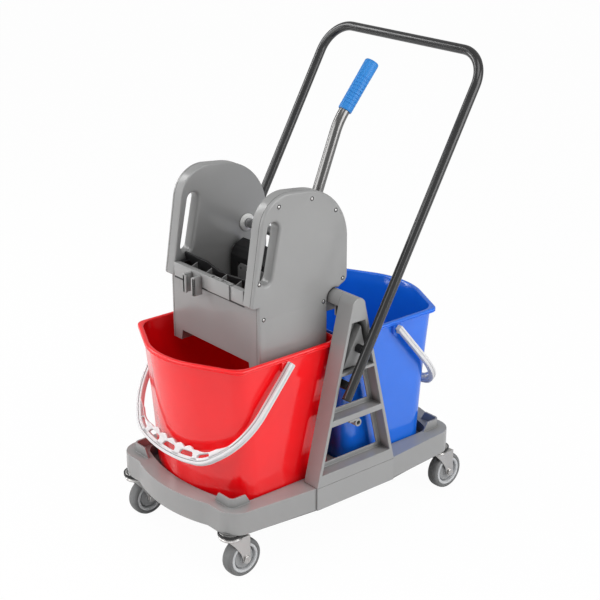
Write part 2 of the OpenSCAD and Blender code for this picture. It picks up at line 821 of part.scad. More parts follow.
// Turns a child on the grip's arch, the middle of the grip pointing up
module on_arch(a, d) translate(grip_c) rotate(a) translate([0, grip_r - d]) children();

// Turns a child on the right elbow
module on_elbow(a, d) translate(elbow_c) rotate(a - 90) translate([0, elbow_r - d]) children();

// Finger bumps: a strip inside the grip, scalloped between its crests
module finger_shape() difference() {
  crest_r = grip_r - grip_h + bail_rim;
  crest_a = asin(2.25 * finger_pitch / crest_r);
  polygon(concat(
    arc(grip_c, crest_r, 90 - crest_a, 90 + crest_a, 8),
    arc(grip_c, crest_r - finger_h - bail_rim, 90 + crest_a * 0.94, 90 - crest_a * 0.94, 8)));
  for (i = [-1.5 : 1.5])
    on_arch(-asin(i * finger_pitch / crest_r), grip_h + finger_r - 1) circle(r = finger_r);
}

// The grip's plate seen flat, from inside the band to the finger bumps
module grip_shape() {
  upper = [for (p = bail_edge(bail_rim)) if (p[1] > grip_foot) p];
  polygon(concat(whole_edge(upper), turned(whole_edge(grip_edge()))));
  finger_shape();
}

// The holes of the grip: three in its arch and one in each elbow
module grip_holes() {
  for (i = [-1 : 1])
    on_arch(-asin(i * grip_pitch / (grip_r - grip_mid)), grip_mid)
      polygon(long_hole(grip_hole_l, grip_hole_h));
  for (m = [0, 1]) mirror([m, 0])
    on_elbow(grip_side_a, grip_mid - 1)
      polygon(long_hole(grip_hole_l - 7, grip_hole_h - 2));
}

// The channel in the faces of the arms and shoulders, between two rims
function channel_edge(d) = concat(
  [[bail_out - d, bail_pin_d]],
  arc(shoulder_c, shoulder_r - d, 0, shoulder_a, 8),
  arc(elbow_c, elbow_r - d, shoulder_a, shoulder_a + 4, 1));

module channel_shape() for (m = [0, 1]) mirror([m, 0])
  polygon(concat(channel_edge(bail_rim), turned(channel_edge(bail_t - bail_rim))));

// A slab of a flat shape whose front lies t under the bail's face
module slab(t, h) translate([0, 0, bail_face - t - h]) linear_extrude(h) children();

module bail_flat() {
  difference() {
    union() {
      slab(0, bail_w) band(bail_edge(0), bail_edge(bail_t));
      slab(0, grip_plate) grip_shape();
    }
    slab(-eps, bail_w + 2 * eps) grip_holes();
    for (t = [-eps, bail_w - bail_channel])
      slab(t, bail_channel + eps) channel_shape();
  }
  both_sides() rod_x(bail_in - pin_l, bail_in + eps, bail_pin_d / 2, 0, 0);
}

// Hangs a bail on the blue bucket, resting against its bowed end
module blue_bail_hung() translate([0, bail_y, bail_z]) rotate([bail_lean - 90, 0, 0]) bail_flat();

module blue_bail() piece(pale) blue_bail_hung();
module red_bail() piece(pale) rotate([0, 0, 180]) blue_bail_hung();

// Wringer housings

// A point on the front edge line at a height, drawn in by d
function toe_at(z, d) = toe_y + (z - toe_z) * tan(toe_lean) + d / cos(toe_lean);

// A housing's outline from the heel forwards, drawn in by d, with a given lower front edge
function panel_points(d, low) =
  let (toe_cz = step_z + toe_r)
  let (brow_cz = panel_top - brow_r)
  let (brow_cy = toe_at(brow_cz, brow_r))
  let (rear_cy = rear_y - rear_r)
  let (rear_cz = brow_cz - (rear_cy - brow_cy) * tan(top_slope) - (rear_r - brow_r) / cos(top_slope))
  concat(
    [[-notch_r - d, panel_foot + d]],
    arc([0, beam_z], notch_r + d, 180, 62, 10),
    arc([rear_y - heel_r, heel_z + heel_r], heel_r - d, -80, 0, 6),
    arc([rear_cy, rear_cz], rear_r - d, 0, 90 - top_slope, 14),
    arc([brow_cy, brow_cz], brow_r - d, 90 - top_slope, 180 - toe_lean, 10),
    arc([toe_at(toe_cz, toe_r), toe_cz], toe_r - d, 180 - toe_lean, 270, 6),
    [[low + d, step_z + d], [low + d, panel_foot + d]]);

// The hand slot's outline, wider by d
module slot_shape(d) {
  run = slot_up - slot_low;
  a = atan2(run[1], run[0]);
  r = hand_slot_w / 2 + d;
  polygon(concat(arc(slot_up, r, a - 90, a + 90, 12), arc(slot_low, r, a + 90, a + 270, 12)));
}

// Inner shell: a tray with bosses for the screws and bearings, open towards the cover
module shell() difference() {
  union() {
    along_x(panel_in, seam_x) difference() {
      polygon(panel_points(0, low_y + front_t));
      polygon(panel_points(shell_t, low_y + front_t));
    }
    along_x(panel_in, panel_in + shell_t) polygon(panel_points(0, low_y + front_t));
    along_x(panel_in, seam_x) slot_shape(shell_t);
    for (p = screw_at) rod_x(panel_in, seam_x, screw_boss_r, p[0], p[1]);
    rod_x(panel_in, panel_in + shell_t + 2, shaft_r + bush_wall + 4, shaft_y, shaft_z);
    rod_x(panel_in, panel_in + shell_t + 2, press_r + 4, press_y, press_z);
  }
  along_x(panel_in - eps, seam_x + eps) slot_shape(0);
  rod_x(panel_in - eps, panel_in + 12, shaft_r + bush_wall + run_fit, shaft_y, shaft_z);
  rod_x(panel_in - eps, panel_in + 12, press_r + run_fit, press_y, press_z);
  for (p = screw_at) rod_x(seam_x - screw_l, seam_x + eps, screw_r + run_fit, p[0], p[1]);
}

// Cover: the outer face of a housing, with sunk screw holes
module cover() difference() {
  union() {
    along_x(seam_x, panel_x) difference() {
      polygon(panel_points(0, low_y));
      polygon(panel_points(shell_t, low_y));
    }
    along_x(panel_x - shell_t, panel_x) polygon(panel_points(0, low_y));
    along_x(seam_x, panel_x) slot_shape(shell_t);
    for (p = screw_at) rod_x(seam_x, panel_x, screw_boss_r, p[0], p[1]);
  }
  along_x(seam_x - eps, panel_x + eps) slot_shape(0);
  for (p = screw_at) {
    rod_x(seam_x - eps, panel_x + eps, screw_r + run_fit, p[0], p[1]);
    rod_x(panel_x - screw_head_t - 0.4, panel_x + eps, screw_head_r + 0.3, p[0], p[1]);
  }
}

module shell_right() piece(grey) shell();
module shell_left() piece(grey) left_side() shell();
module cover_right() piece(grey) cover();
module cover_left() piece(grey) left_side() cover();

module cover_screws() piece(zinc) both_sides() for (p = screw_at) {
  rod_x(seam_x - screw_l + 1, panel_x - screw_head_t, screw_r, p[0], p[1]);
  rod_x(panel_x - screw_head_t - 0.4, panel_x - 0.4, screw_head_r, p[0], p[1]);
}

// Front panel between the covers, cut out below so that two feet reach into the bucket
foot_w = seam_x - panel_in;
cutout_z = panel_foot + 20;

module front_panel() piece(grey) translate([0, low_y + front_t, 0]) rotate([90, 0, 0])
  linear_extrude(front_t) polygon([
  [-seam_x, panel_foot], [-seam_x + foot_w, panel_foot], [-seam_x + foot_w + 3, cutout_z],
  [seam_x - foot_w - 3, cutout_z], [seam_x - foot_w, panel_foot], [seam_x, panel_foot],
  [seam_x, step_z], [-seam_x, step_z]]);

// Front rail between the housings: a channel with a handle clip and a slotted box
module front_rail() piece(grey) difference() {
  union() {
    along_x(-panel_in, panel_in) difference() {
      translate([rail_y, step_z]) square([rail_t, rail_top - step_z]);
      translate([rail_y + rail_wall, step_z + rail_wall]) square([rail_t, rail_top - step_z - 2 * rail_wall]);
    }
    for (s = [-1, 1])
      translate([clip_x + s * (clip_space + clip_t) / 2, 0, 0]) along_x(-clip_t / 2, clip_t / 2)
        polygon([[rail_y, rail_top - 1], [rail_y - clip_out + 3, rail_top - 6],
          [rail_y - clip_out, rail_top - 9],
          [rail_y - clip_out, rail_top - 3 - clip_h], [rail_y - clip_out + 3, rail_top - 6 - clip_h],
          [rail_y, rail_top - 6 - clip_h]]);
    translate([clip_x - clip_space / 2 - clip_t, rail_y, rail_top - 6 - clip_h])
      cube([clip_space + 2 * clip_t, 4, clip_h]);
    translate([box_x[0], rail_y - box_out, step_z])
      cube([box_x[1] - box_x[0], rail_t, rail_top - step_z + 2]);
  }
  for (x = [box_x[0] + 9, box_x[0] + 37])
    translate([x, rail_y + 2, rail_top - 12]) cube([18, 4.5, 20]);
}

// Rear panel: a wall behind the press that hooks over the beam
hook_z = beam_z + beam_r + hook_gap;

module rear_panel() piece(grey) {
  along_x(-panel_in, panel_in) polygon([
    [rear_front, panel_foot + 30], [rear_front + hook_t, panel_foot + 30], [rear_front + hook_t, hook_z],
    [beam_r + 1, hook_z], [beam_r + 1, beam_z - 4], [beam_r + 1 + hook_t, beam_z - 4],
    [beam_r + 1 + hook_t, hook_z + hook_t], [rear_front, hook_z + hook_t]]);
}

// Sieve: the sloping front jaw with drain slots, ribs and a grated floor
jaw_run = jaw_top - jaw_low;
jaw_len = norm(jaw_run);
jaw_tilt = atan2(-jaw_run[0], jaw_run[1]);
jaw_bays = 8;
jaw_bay = 2 * panel_in / jaw_bays;
sieve_rear = -62;

module sieve() piece(black) {
  translate([0, jaw_top[0], jaw_top[1]]) rotate([jaw_tilt, 0, 0]) {
    translate([0, jaw_t, 0]) rotate([90, 0, 0]) linear_extrude(jaw_t) difference() {
      polygon([[-panel_in, -jaw_len - jaw_t], [panel_in, -jaw_len - jaw_t], [panel_in, -2],
        [66, -5], [34, -jaw_dip], [-2, -jaw_dip],
        [-34, 0], [-panel_in, 2]]);
      for (i = [0 : jaw_bays - 1]) translate([-panel_in + (i + 0.5) * jaw_bay - 3, -jaw_len + 15])
        square([6, jaw_len - 50]);
    }
    for (i = [1 : jaw_bays - 1])
      translate([-panel_in + i * jaw_bay - jaw_rib_t / 2, jaw_t - eps, -jaw_len + 6])
        cube([jaw_rib_t, jaw_rib_h + eps, jaw_len - 22]);
  }
  difference() {
    translate([-panel_in, jaw_low[0], jaw_low[1] - jaw_t])
      cube([2 * panel_in, sieve_rear - jaw_low[0], jaw_t]);
    for (i = [0 : jaw_bays - 1])
      translate([-panel_in + (i + 0.5) * jaw_bay - 4, jaw_low[0] + 12, jaw_low[1] - jaw_t - eps])
      cube([8, sieve_rear - jaw_low[0] - 20, jaw_t + 2 * eps]);
  }
  for (s = [-1, 1]) translate([s > 0 ? panel_in - 12 : -panel_in, rail_y + rail_t, rail_top - 4])
    cube([12, jaw_top[0] - rail_y - rail_t + 4, 4]);
}

// Wringer drive

// A tooth's half angle at a radius, on an involute flank
function involute(a) = tan(a) * 180 / PI - a;
function flank(n, r) =
  let (base = gear_m * n / 2 * cos(20))
  90 / n - gear_play + involute(20) - (r > base ? involute(acos(base / r)) : 0);

gear_play = 0.5;
gear_add = 0.85;
gear_ded = 1.15;
flank_steps = 4;

// The points of one tooth, from its root up one flank and down the other
function tooth(n, at) =
  let (r0 = gear_m * (n / 2 - gear_ded))
  let (r1 = gear_m * (n / 2 + gear_add))
  let (rs = [for (i = [0 : flank_steps]) r0 + (r1 - r0) * i / flank_steps])
  concat(
    [for (r = rs) r * [cos(at - flank(n, r)), sin(at - flank(n, r))]],
    [for (i = [flank_steps : -1 : 0]) rs[i] * [cos(at + flank(n, rs[i])), sin(at + flank(n, rs[i]))]]);

module pinion_shape() difference() {
  polygon([for (k = [0 : pinion_n - 1]) each tooth(pinion_n, gear_dir + 180 + k * 360 / pinion_n)]);
  circle(r = shaft_r + run_fit);
}

module sector_shape() difference() {
  union() {
    polygon(concat([[0, 0]],
      [for (k = [sector_from : sector_to]) each tooth(sector_n, gear_dir + (k + 0.5) * 360 / sector_n)]));
    circle(r = sector_hub_r);
  }
  circle(r = press_r + run_fit);
}

module pinions() piece(dark) both_sides()
  along_x(gear_x, gear_x + gear_w) translate([shaft_y, shaft_z]) pinion_shape();

module press_sectors() piece(dark) both_sides()
  along_x(gear_x, gear_x + gear_w) translate([press_y, press_z]) sector_shape();

module lever_shaft() piece(dark) rod_x(-shaft_end, shaft_end, shaft_r, shaft_y, shaft_z);

module press_axle() piece(zinc) rod_x(-shaft_end, shaft_end, press_r, press_y, press_z);

module shaft_bushes() piece(pale) both_sides() difference() {
  union() {
    rod_x(panel_in - bush_flange_t, panel_in + shell_t + 2, shaft_r + bush_wall, shaft_y, shaft_z);
    rod_x(panel_in - bush_flange_t, panel_in, shaft_r + bush_wall + bush_flange, shaft_y, shaft_z);
  }
  rod_x(panel_in - 2 * bush_flange_t, panel_in + shell_t + 5, shaft_r + run_fit, shaft_y, shaft_z);
}

// Press: a ribbed plate hung on its axle, with a seat for the pad
press_ribs = 7;
press_rib_t = 4;
press_pitch = (2 * press_half_w - press_rib_t) / (press_ribs - 1);
hood_y = 15;

module press_frame() piece(black) translate([0, press_y, press_z]) difference() {
  union() {
    along_x(-press_half_w, press_half_w) polygon([
      [press_front, -press_down], [press_front + press_plate_t, -press_down],
      [press_front + press_plate_t, -9],
      [0, 5], [hood_y + 2, press_rise - 5], [hood_y, press_rise], [-4, press_rise - 8], [press_front, -6]]);
    rod_x(-press_half_w, press_half_w, press_r + 4, 0, 0);
    for (i = [0 : press_ribs - 1])
      along_x(-press_half_w + i * press_pitch, -press_half_w + i * press_pitch + press_rib_t)
        polygon([[press_front + 3, -press_down], [press_front + 12, -press_down], [press_r + 2, -10],
          [hood_y, press_rise - 3], [-3, press_rise - 10], [press_front + 3, -8]]);
  }
  rod_x(-press_half_w - eps, press_half_w + eps, press_r + run_fit, 0, 0);
  translate([-pad_half_w, press_front - eps, pad_low])
    cube([2 * pad_half_w, pad_seat + eps, pad_high - pad_low]);
}

// Pad: a chamfered plate drilled in rows
pad_rows = 4;
pad_cols = 8;
pad_cut = 8;
pad_hole_r = 2.6;

module press_pad() piece(rubber)
  translate([0, press_y + press_front + pad_seat, press_z]) rotate([90, 0, 0]) difference() {
  linear_extrude(pad_t) polygon([
    [-pad_half_w, pad_low], [pad_half_w, pad_low],
    [pad_half_w, pad_high - pad_cut], [pad_half_w - pad_cut, pad_high],
    [-pad_half_w + pad_cut, pad_high], [-pad_half_w, pad_high - pad_cut]]);
  for (i = [0 : pad_cols - 1], j = [0 : pad_rows - 1])
    translate([-pad_half_w + (i + 0.5) * 2 * pad_half_w / pad_cols,
      pad_low + (j + 0.5) * (pad_high - pad_low) / pad_rows, -eps])
      cylinder(r = pad_hole_r, h = pad_t + 2 * eps, $fn = 24);
}

// Lever

// Stands a piece on the lever's lean, at the shaft
module on_lever() translate([lever_x, shaft_y, shaft_z]) rotate([-lever_lean, 0, 0]) children();

// Moves a piece to the end of the lever's bend
module past_bend()
  translate([0, lever_bend_r * (1 - cos(lever_bend)), lever_len + lever_bend_r * sin(lever_bend)])
    rotate([-lever_bend, 0, 0]) children();

module lever_hub() piece(dark) on_lever() difference() {
  union() {
    rod_x(-hub_w / 2, hub_w / 2, hub_r, 0, 0);
    cylinder(r = lever_r + 4, h = socket_out);
  }
  rod_x(-hub_w / 2 - eps, hub_w / 2 + eps, shaft_r + run_fit, 0, 0);
  translate([0, 0, socket_from]) cylinder(r = lever_r + run_fit, h = socket_out);
}

// The bent run of the lever's tube with a given radius
module lever_run(r) {
  translate([0, 0, socket_from]) cylinder(r = r, h = lever_len - socket_from);
  translate([0, lever_bend_r, lever_len]) rotate([0, 90, 0]) rotate([0, 0, -90 - lever_bend - bend_over])
    rotate_extrude(angle = lever_bend + 2 * bend_over)
      translate([lever_bend_r, 0]) circle(r = r + bend_swell);
  past_bend() cylinder(r = r, h = lever_upper + lever_grip_l - lever_cap);
}

module lever_tube() piece(zinc) on_lever() difference() {
  lever_run(lever_r);
  lever_run(lever_r - tube_wall);
}

// Grip: a ribbed sleeve closed at the end
grip_ribs = 9;
grip_groove = 1;

module lever_grip() piece(grip_blue) on_lever() past_bend() translate([0, 0, lever_upper]) difference() {
  cylinder(r = lever_grip_d / 2, h = lever_grip_l);
  translate([0, 0, -eps]) cylinder(r = lever_r + run_fit, h = lever_grip_l - lever_cap + eps);
  for (i = [1 : grip_ribs]) translate([0, 0, i * lever_grip_l / (grip_ribs + 1)]) difference() {
    cylinder(r = lever_grip_d, h = 3);
    translate([0, 0, -eps]) cylinder(r = lever_grip_d / 2 - grip_groove, h = 3 + 2 * eps);
  }
}

base_tray();
side_frame_right();
side_frame_left();
cross_beam();
push_handle();
handle_plugs();
handle_spacers();
handle_bolts();
frame_screws();
accessory_socket();
stem_fl();
fork_fl();
axle_fl();
hub_fl();
tyre_fl();
stem_fr();
fork_fr();
axle_fr();
hub_fr();
tyre_fr();
stem_rl();
fork_rl();
axle_rl();
hub_rl();
tyre_rl();
stem_rr();
fork_rr();
axle_rr();
hub_rr();
tyre_rr();
red_bucket();
blue_bucket();
red_bail();
blue_bail();
shell_right();
shell_left();
cover_right();
cover_left();
cover_screws();
front_panel();
front_rail();
rear_panel();
sieve();
shaft_bushes();
lever_shaft();
lever_hub();
lever_tube();
lever_grip();
pinions();
press_axle();
press_sectors();
press_frame();
press_pad();
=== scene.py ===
# %% [markdown]
# # A double mop bucket trolley
# The trolley carries a red and a blue bucket in a grey moulded base, and a lever wringer stands over
# the red one. Its exact construction is already packed as a CAD frame. This lesson dresses that frame:
# rounded edges, moulded buckets, finishes, light and a camera. Every new piece is drawn in millimetres
# and set down in metres in the frame's own axes, so nothing has to be fitted by eye.

# %% Load the frame
import json
from math import atan2, cos, degrees, pi, radians, sin, tan

import bmesh
import bpy
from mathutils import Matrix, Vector


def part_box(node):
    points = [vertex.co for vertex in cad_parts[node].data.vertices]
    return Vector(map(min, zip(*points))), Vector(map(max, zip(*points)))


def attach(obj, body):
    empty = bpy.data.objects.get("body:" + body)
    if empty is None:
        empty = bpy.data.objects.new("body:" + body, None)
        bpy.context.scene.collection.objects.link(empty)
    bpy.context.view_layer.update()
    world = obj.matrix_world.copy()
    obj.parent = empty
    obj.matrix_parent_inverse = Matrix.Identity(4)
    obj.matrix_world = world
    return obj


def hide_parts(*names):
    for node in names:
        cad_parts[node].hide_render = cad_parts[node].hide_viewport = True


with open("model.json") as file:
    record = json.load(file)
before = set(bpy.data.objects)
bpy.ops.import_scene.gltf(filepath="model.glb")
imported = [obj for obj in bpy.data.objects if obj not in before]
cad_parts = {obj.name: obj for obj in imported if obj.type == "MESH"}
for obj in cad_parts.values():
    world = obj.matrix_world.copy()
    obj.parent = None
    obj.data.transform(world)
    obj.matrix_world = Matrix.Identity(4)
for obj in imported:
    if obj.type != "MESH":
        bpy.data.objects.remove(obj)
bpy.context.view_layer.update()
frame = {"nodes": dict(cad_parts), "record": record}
slot_of = {part["node"]: part["material_slot"] for part in frame["record"]["subparts"]}

# %% [markdown]
# ## Camera
# The picture was taken from the front right, a little above the push bar's middle, with a long lens.
# A camera can be placed by hand in the viewport, but here its place and direction are known as
# numbers, so it is set down there. Without a rotation a camera looks straight down, so it is
# tilted up and then turned.

# %% Camera
VIEW_AZIMUTH = radians(49.74)
VIEW_ELEVATION = radians(21.04)
CAMERA_PLACE = Vector((1.981, -1.65985, 1.424))
FOCAL_PIXELS = 1457.0
FRAME_PIXELS = 600
SENSOR_MM = 36.0


def linked(name, data):
    """A new object in the scene."""
    obj = bpy.data.objects.new(name, data)
    bpy.context.scene.collection.objects.link(obj)
    return obj


camera = linked("camera", bpy.data.cameras.new("camera"))
camera.data.sensor_width = SENSOR_MM
camera.data.lens = SENSOR_MM * FOCAL_PIXELS / FRAME_PIXELS
camera.location = CAMERA_PLACE
camera.rotation_euler = (pi / 2 - VIEW_ELEVATION, 0.0, VIEW_AZIMUTH)
bpy.context.scene.camera = camera
print("lens mm:", round(camera.data.lens, 1))

# %% [markdown]
# ## White studio
# Product pictures of this kind stand on a seamless white floor. A wide plane does that job. For what
# the camera sees, its material is mostly plain white with a share of lit surface, so the open floor
# is white and the trolley keeps a soft contact shadow. The world is white to the camera, an even
# lamp to matt surfaces and a dimmer room to mirrors. So upright walls mirror a bright floor, and
# what faces up shows the softboxes, not a grey veil.

# %% White studio
FLOOR_HALF = 40.0
FLOOR_WHITE = (0.86, 0.86, 0.86, 1.0)
PLAIN_WHITE = (1.0, 1.0, 1.0, 1.0)
SHADOW_SHARE = 0.03
ROOM = 0.45
AMBIENT = 0.26

bpy.context.scene.view_settings.view_transform = "Standard"


def feed(tree, node, inputs):
    """Sets a shader node's inputs, or links them to other nodes' outputs."""
    for name, value in inputs.items():
        if isinstance(value, bpy.types.NodeSocket):
            tree.links.new(value, node.inputs[name])
        else:
            node.inputs[name].default_value = value


def new_node(tree, kind, inputs):
    """A new shader node that is fed at once."""
    node = tree.nodes.new("ShaderNode" + kind)
    feed(tree, node, inputs)
    return node


def ray_kind(tree, kind):
    """A value of 1 for rays of a kind, such as those from the camera, and 0 for all others."""
    return tree.nodes.new("ShaderNodeLightPath").outputs[kind]


def chosen(tree, share, first, second):
    """A shader that goes from the first to the second as share goes from 0 to 1."""
    return new_node(tree, "MixShader", {0: share, 1: first.outputs[0], 2: second.outputs[0]})


def white_floor():
    """A lit floor that the camera sees as plain white with a share of its shadows."""
    material = bpy.data.materials.new("floor_white")
    material.use_nodes = True
    tree = material.node_tree
    tree.nodes.clear()
    lit = new_node(tree, "BsdfDiffuse", {"Color": FLOOR_WHITE})
    plain = new_node(tree, "Emission", {"Strength": 1.0})
    share = new_node(tree, "Math", {0: ray_kind(tree, "Is Camera Ray"), 1: 1.0 - SHADOW_SHARE})
    share.operation = "MULTIPLY"
    surface = chosen(tree, share.outputs[0], lit, plain)
    new_node(tree, "OutputMaterial", {"Surface": surface.outputs[0]})
    return material


def studio_world():
    """A world with its own brightness for matt surfaces, for mirrors and for the camera."""
    world = bpy.data.worlds.new("studio")
    bpy.context.scene.world = world
    world.use_nodes = True
    tree = world.node_tree
    tree.nodes.clear()
    matt, room, white = (new_node(tree, "Background", {"Color": PLAIN_WHITE, "Strength": strength})
                         for strength in (AMBIENT, ROOM, 1.0))
    seen = chosen(tree, ray_kind(tree, "Is Glossy Ray"), matt, room)
    seen = chosen(tree, ray_kind(tree, "Is Camera Ray"), seen, white)
    new_node(tree, "OutputWorld", {"Surface": seen.outputs[0]})


floor_mesh = bpy.data.meshes.new("floor")
corners = [(x * FLOOR_HALF, y * FLOOR_HALF, 0) for x, y in ((-1, -1), (1, -1), (1, 1), (-1, 1))]
floor_mesh.from_pydata(corners, [], [(0, 1, 2, 3)])
floor_mesh.materials.append(white_floor())
floor = linked("floor", floor_mesh)
studio_world()
print("floor metres across:", 2 * FLOOR_HALF)

# %% [markdown]
# ## Soft lamps
# Two large softboxes stand beside the camera, a tall strip lamp draws a bright line down the left of
# each tube and edge, and a wide sun adds an even light from above. A sun alone would light everything,
# but glossy plastic shows the shape of its lamp: the sharp edge of a softbox in a bucket's wall is
# what tells the eye that the wall is smooth. Area lamps hidden from the camera do both jobs. An area
# lamp's power is its brightness times pi times its area, and `to_track_quat` aims it.

# %% Soft lamps
# place, width and height, brightness
SOFTBOXES = {
    "right": ((2.2, 0.75, 1.25), (1.8, 1.9), 3.4),
    "front": ((-0.75, -2.3, 1.35), (1.8, 1.8), 2.8),
    "strip": ((-2.1, -1.0, 1.5), (0.5, 2.0), 6.0),
}
LAMP_AIM = Vector((0.0, 0.0, 0.40))
SUN_FROM = Vector((0.35, -0.30, 1.0))
SUN_BRIGHT, SUN_WIDE = 1.0, radians(40)
for name, (place, size, bright) in SOFTBOXES.items():
    data = bpy.data.lights.new(name, "AREA")
    data.shape = "RECTANGLE"
    data.size, data.size_y = size
    data.energy = bright * pi * data.size * data.size_y
    lamp = linked(name, data)
    lamp.location = place
    lamp.rotation_euler = (LAMP_AIM - lamp.location).to_track_quat("-Z", "Y").to_euler()
    lamp.visible_camera = False

overhead = bpy.data.lights.new("overhead", "SUN")
overhead.energy = SUN_BRIGHT
overhead.angle = SUN_WIDE
sun = linked("overhead", overhead)
sun.rotation_euler = SUN_FROM.to_track_quat("Z", "Y").to_euler()
print("lamps:", list(SOFTBOXES) + ["overhead"])

# %% [markdown]
# ## Finishes
# Most of the trolley is moulded plastic. A real moulding is never one flat colour: the pigment drifts
# a little, the surface has a fine grain from the tool, it is polished where hands touch it and its
# edges are rubbed paler. Shade is also painted into its corners. Drift, grain and polish are noise
# textures, the edges come from the mesh's pointiness and the painted corner shade from ambient
# occlusion. Each feeds one input of the shader, so a single recipe with different numbers makes
# every finish here.

# %% Finish helpers
NOISE_ROUGHNESS = 0.55
# the Mix node has sockets for every kind of value, and these are its places for colours
MIX_SHARE, MIX_FIRST, MIX_SECOND, MIX_OUT = 0, 6, 7, 2


def noise(tree, where, scale, detail):
    """A noise value that repeats about scale times in a metre."""
    return new_node(tree, "TexNoise", {
        "Vector": where, "Scale": scale, "Detail": detail, "Roughness": NOISE_ROUGHNESS,
    }).outputs["Fac"]


def spread(tree, value, low, high, start=0.3, end=0.7):
    """Maps a value between start and end to the range from low to high."""
    return new_node(tree, "MapRange", {
        "Value": value, "From Min": start, "From Max": end, "To Min": low, "To Max": high,
    }).outputs["Result"]


def mixed(tree, share, first, second):
    """Mixes two colours, given as colours or as sockets."""
    node = tree.nodes.new("ShaderNodeMix")
    node.data_type = "RGBA"
    feed(tree, node, {MIX_SHARE: share, MIX_FIRST: first, MIX_SECOND: second})
    return node.outputs[MIX_OUT]


def relief(tree, height, depth, below=None):
    """A bump of a depth in metres, laid over the one below."""
    node = new_node(tree, "Bump", {"Strength": 1.0, "Distance": depth, "Height": height})
    if below is not None:
        feed(tree, node, {"Normal": below})
    return node.outputs["Normal"]


def shaded(colour, factor):
    """A colour made paler or darker, and opaque."""
    return (*(min(1.0, channel * factor) for channel in colour), 1.0)


print("a grey at half its brightness:", shaded((0.3, 0.3, 0.3), 0.5))

# %% Finishes
EDGE_FROM, EDGE_TO, EDGE_PALE = 0.505, 0.56, 1.5
# reach, rays and darkness of the shade painted into corners
CORNER_REACH, CORNER_RAYS, CORNER_DARK = 0.02, 8, 0.15
CORNER_FROM, CORNER_TO = 0.25, 0.80
SWELL_SCALE = 14.0


def finish(name, colour, rough, drift=0.05, drift_scale=9.0, rough_drift=0.06, grain=1100.0,
           grain_depth=0.00004, wear=0.0, metal=0.0, gloss=0.5, wave=0.0, painted_corner_shade=0.0):
    """A finish of drifting colour, uneven polish, moulded grain, paler edges and painted shade in
    corners.
    """
    material = bpy.data.materials.new(name)
    material.use_nodes = True
    tree = material.node_tree
    shader = tree.nodes["Principled BSDF"]
    where = tree.nodes.new("ShaderNodeTexCoord").outputs["Object"]
    pigment = spread(tree, noise(tree, where, drift_scale, 4.0), 0.0, 1.0)
    base = mixed(tree, pigment, shaded(colour, 1 - drift), shaded(colour, 1 + drift))
    if wear:
        edges = tree.nodes.new("ShaderNodeNewGeometry").outputs["Pointiness"]
        rubbed = spread(tree, edges, 0.0, wear, EDGE_FROM, EDGE_TO)
        base = mixed(tree, rubbed, base, shaded(colour, EDGE_PALE))
    # painted shade: ambient occlusion darkens the colour in corners and hollows, where shade falls
    if painted_corner_shade:
        nearby = new_node(tree, "AmbientOcclusion", {"Distance": CORNER_REACH})
        nearby.samples = CORNER_RAYS
        hidden = spread(tree, nearby.outputs["AO"], painted_corner_shade, 0.0, CORNER_FROM, CORNER_TO)
        base = mixed(tree, hidden, base, shaded(colour, CORNER_DARK))
    patches = noise(tree, where, drift_scale * 4, 5.0)
    polish = spread(tree, patches, rough - rough_drift, rough + rough_drift)
    swell = relief(tree, noise(tree, where, SWELL_SCALE, 2.0), wave) if wave else None
    surface = relief(tree, noise(tree, where, grain, 2.0), grain_depth, swell)
    feed(tree, shader, {"Base Color": base, "Roughness": polish, "Normal": surface,
                        "Metallic": metal, "Specular IOR Level": gloss})
    return material


FINISHES = {
    "grey_plastic": finish("moulded_grey", (0.298, 0.299, 0.297), 0.22, drift=0.025,
                           rough_drift=0.02, wear=0.10, painted_corner_shade=0.75),
    "red_plastic": finish("moulded_red", (0.92, 0.004, 0.008), 0.12, drift=0.04, gloss=0.65,
                          wear=0.1, grain_depth=0.00001, wave=0.0004),
    "blue_plastic": finish("moulded_blue", (0.008, 0.155, 0.78), 0.12, gloss=0.85,
                           wear=0.1, grain_depth=0.00001, wave=0.0004),
    "pale_plastic": finish("moulded_pale", (0.70, 0.70, 0.71), 0.38, drift=0.03, gloss=0.45),
    "dark_tube": finish("powder_coat", (0.024, 0.024, 0.0245), 0.18, grain=1800.0,
                        grain_depth=0.000003, gloss=0.55),
    "black_plastic": finish("moulded_black", (0.010, 0.010, 0.0105), 0.36, drift=0.15, wear=0.3,
                            gloss=0.4),
    "pad_plastic": finish("pad_grey", (0.16, 0.16, 0.16), 0.55, wear=0.3),
    "white_plastic": finish("bush_white", (0.72, 0.72, 0.71), 0.40),
    "steel": finish("plain_steel", (0.42, 0.42, 0.43), 0.33, metal=1.0, grain_depth=0.00002),
    "gear_plastic": finish("gear_black", (0.05, 0.05, 0.05), 0.5),
    "chrome": finish("chromed_tube", (0.20, 0.197, 0.194), 0.24, drift=0.04, rough_drift=0.03,
                     metal=1.0, grain_depth=0.000001),
    "grip_rubber": finish("soft_blue_grip", (0.022, 0.215, 0.60), 0.42, grain=900.0,
                          grain_depth=0.000003, gloss=0.35),
    "zinc": finish("zinc_plate", (0.56, 0.55, 0.54), 0.30, drift=0.03, drift_scale=30.0,
                   rough_drift=0.03, metal=1.0, grain_depth=0.000004),
    "hub_plastic": finish("wheel_centre", (0.30, 0.305, 0.31), 0.40),
    "hub_rim": finish("wheel_rim", (0.52, 0.53, 0.54), 0.38),
    "tyre_rubber": finish("tyre_grey", (0.165, 0.167, 0.168), 0.48, drift=0.12, drift_scale=40.0,
                          grain_depth=0.00008, gloss=0.3),
}
print("finishes:", len(FINISHES))

# %% [markdown]
# ## Rounded edges on the CAD pieces
# No moulded or pressed edge is knife sharp, and it is the thin highlight along an edge that makes a
# part look real. The CAD meshes must not be changed, so the rounding is a stack of modifiers: Weld
# joins the faces, a planar Decimate turns flat triangles back into whole faces, Bevel rounds what is
# sharper than its angle, and Weighted Normal keeps the flats flat.

# %% Rounded edges
EDGE_LIMIT = radians(32)
EDGE_ROUND, EDGE_STEPS = 0.0009, 2
WELD_REACH, FLAT_LIMIT = 0.00002, radians(0.6)
FULL_WEIGHT = 100
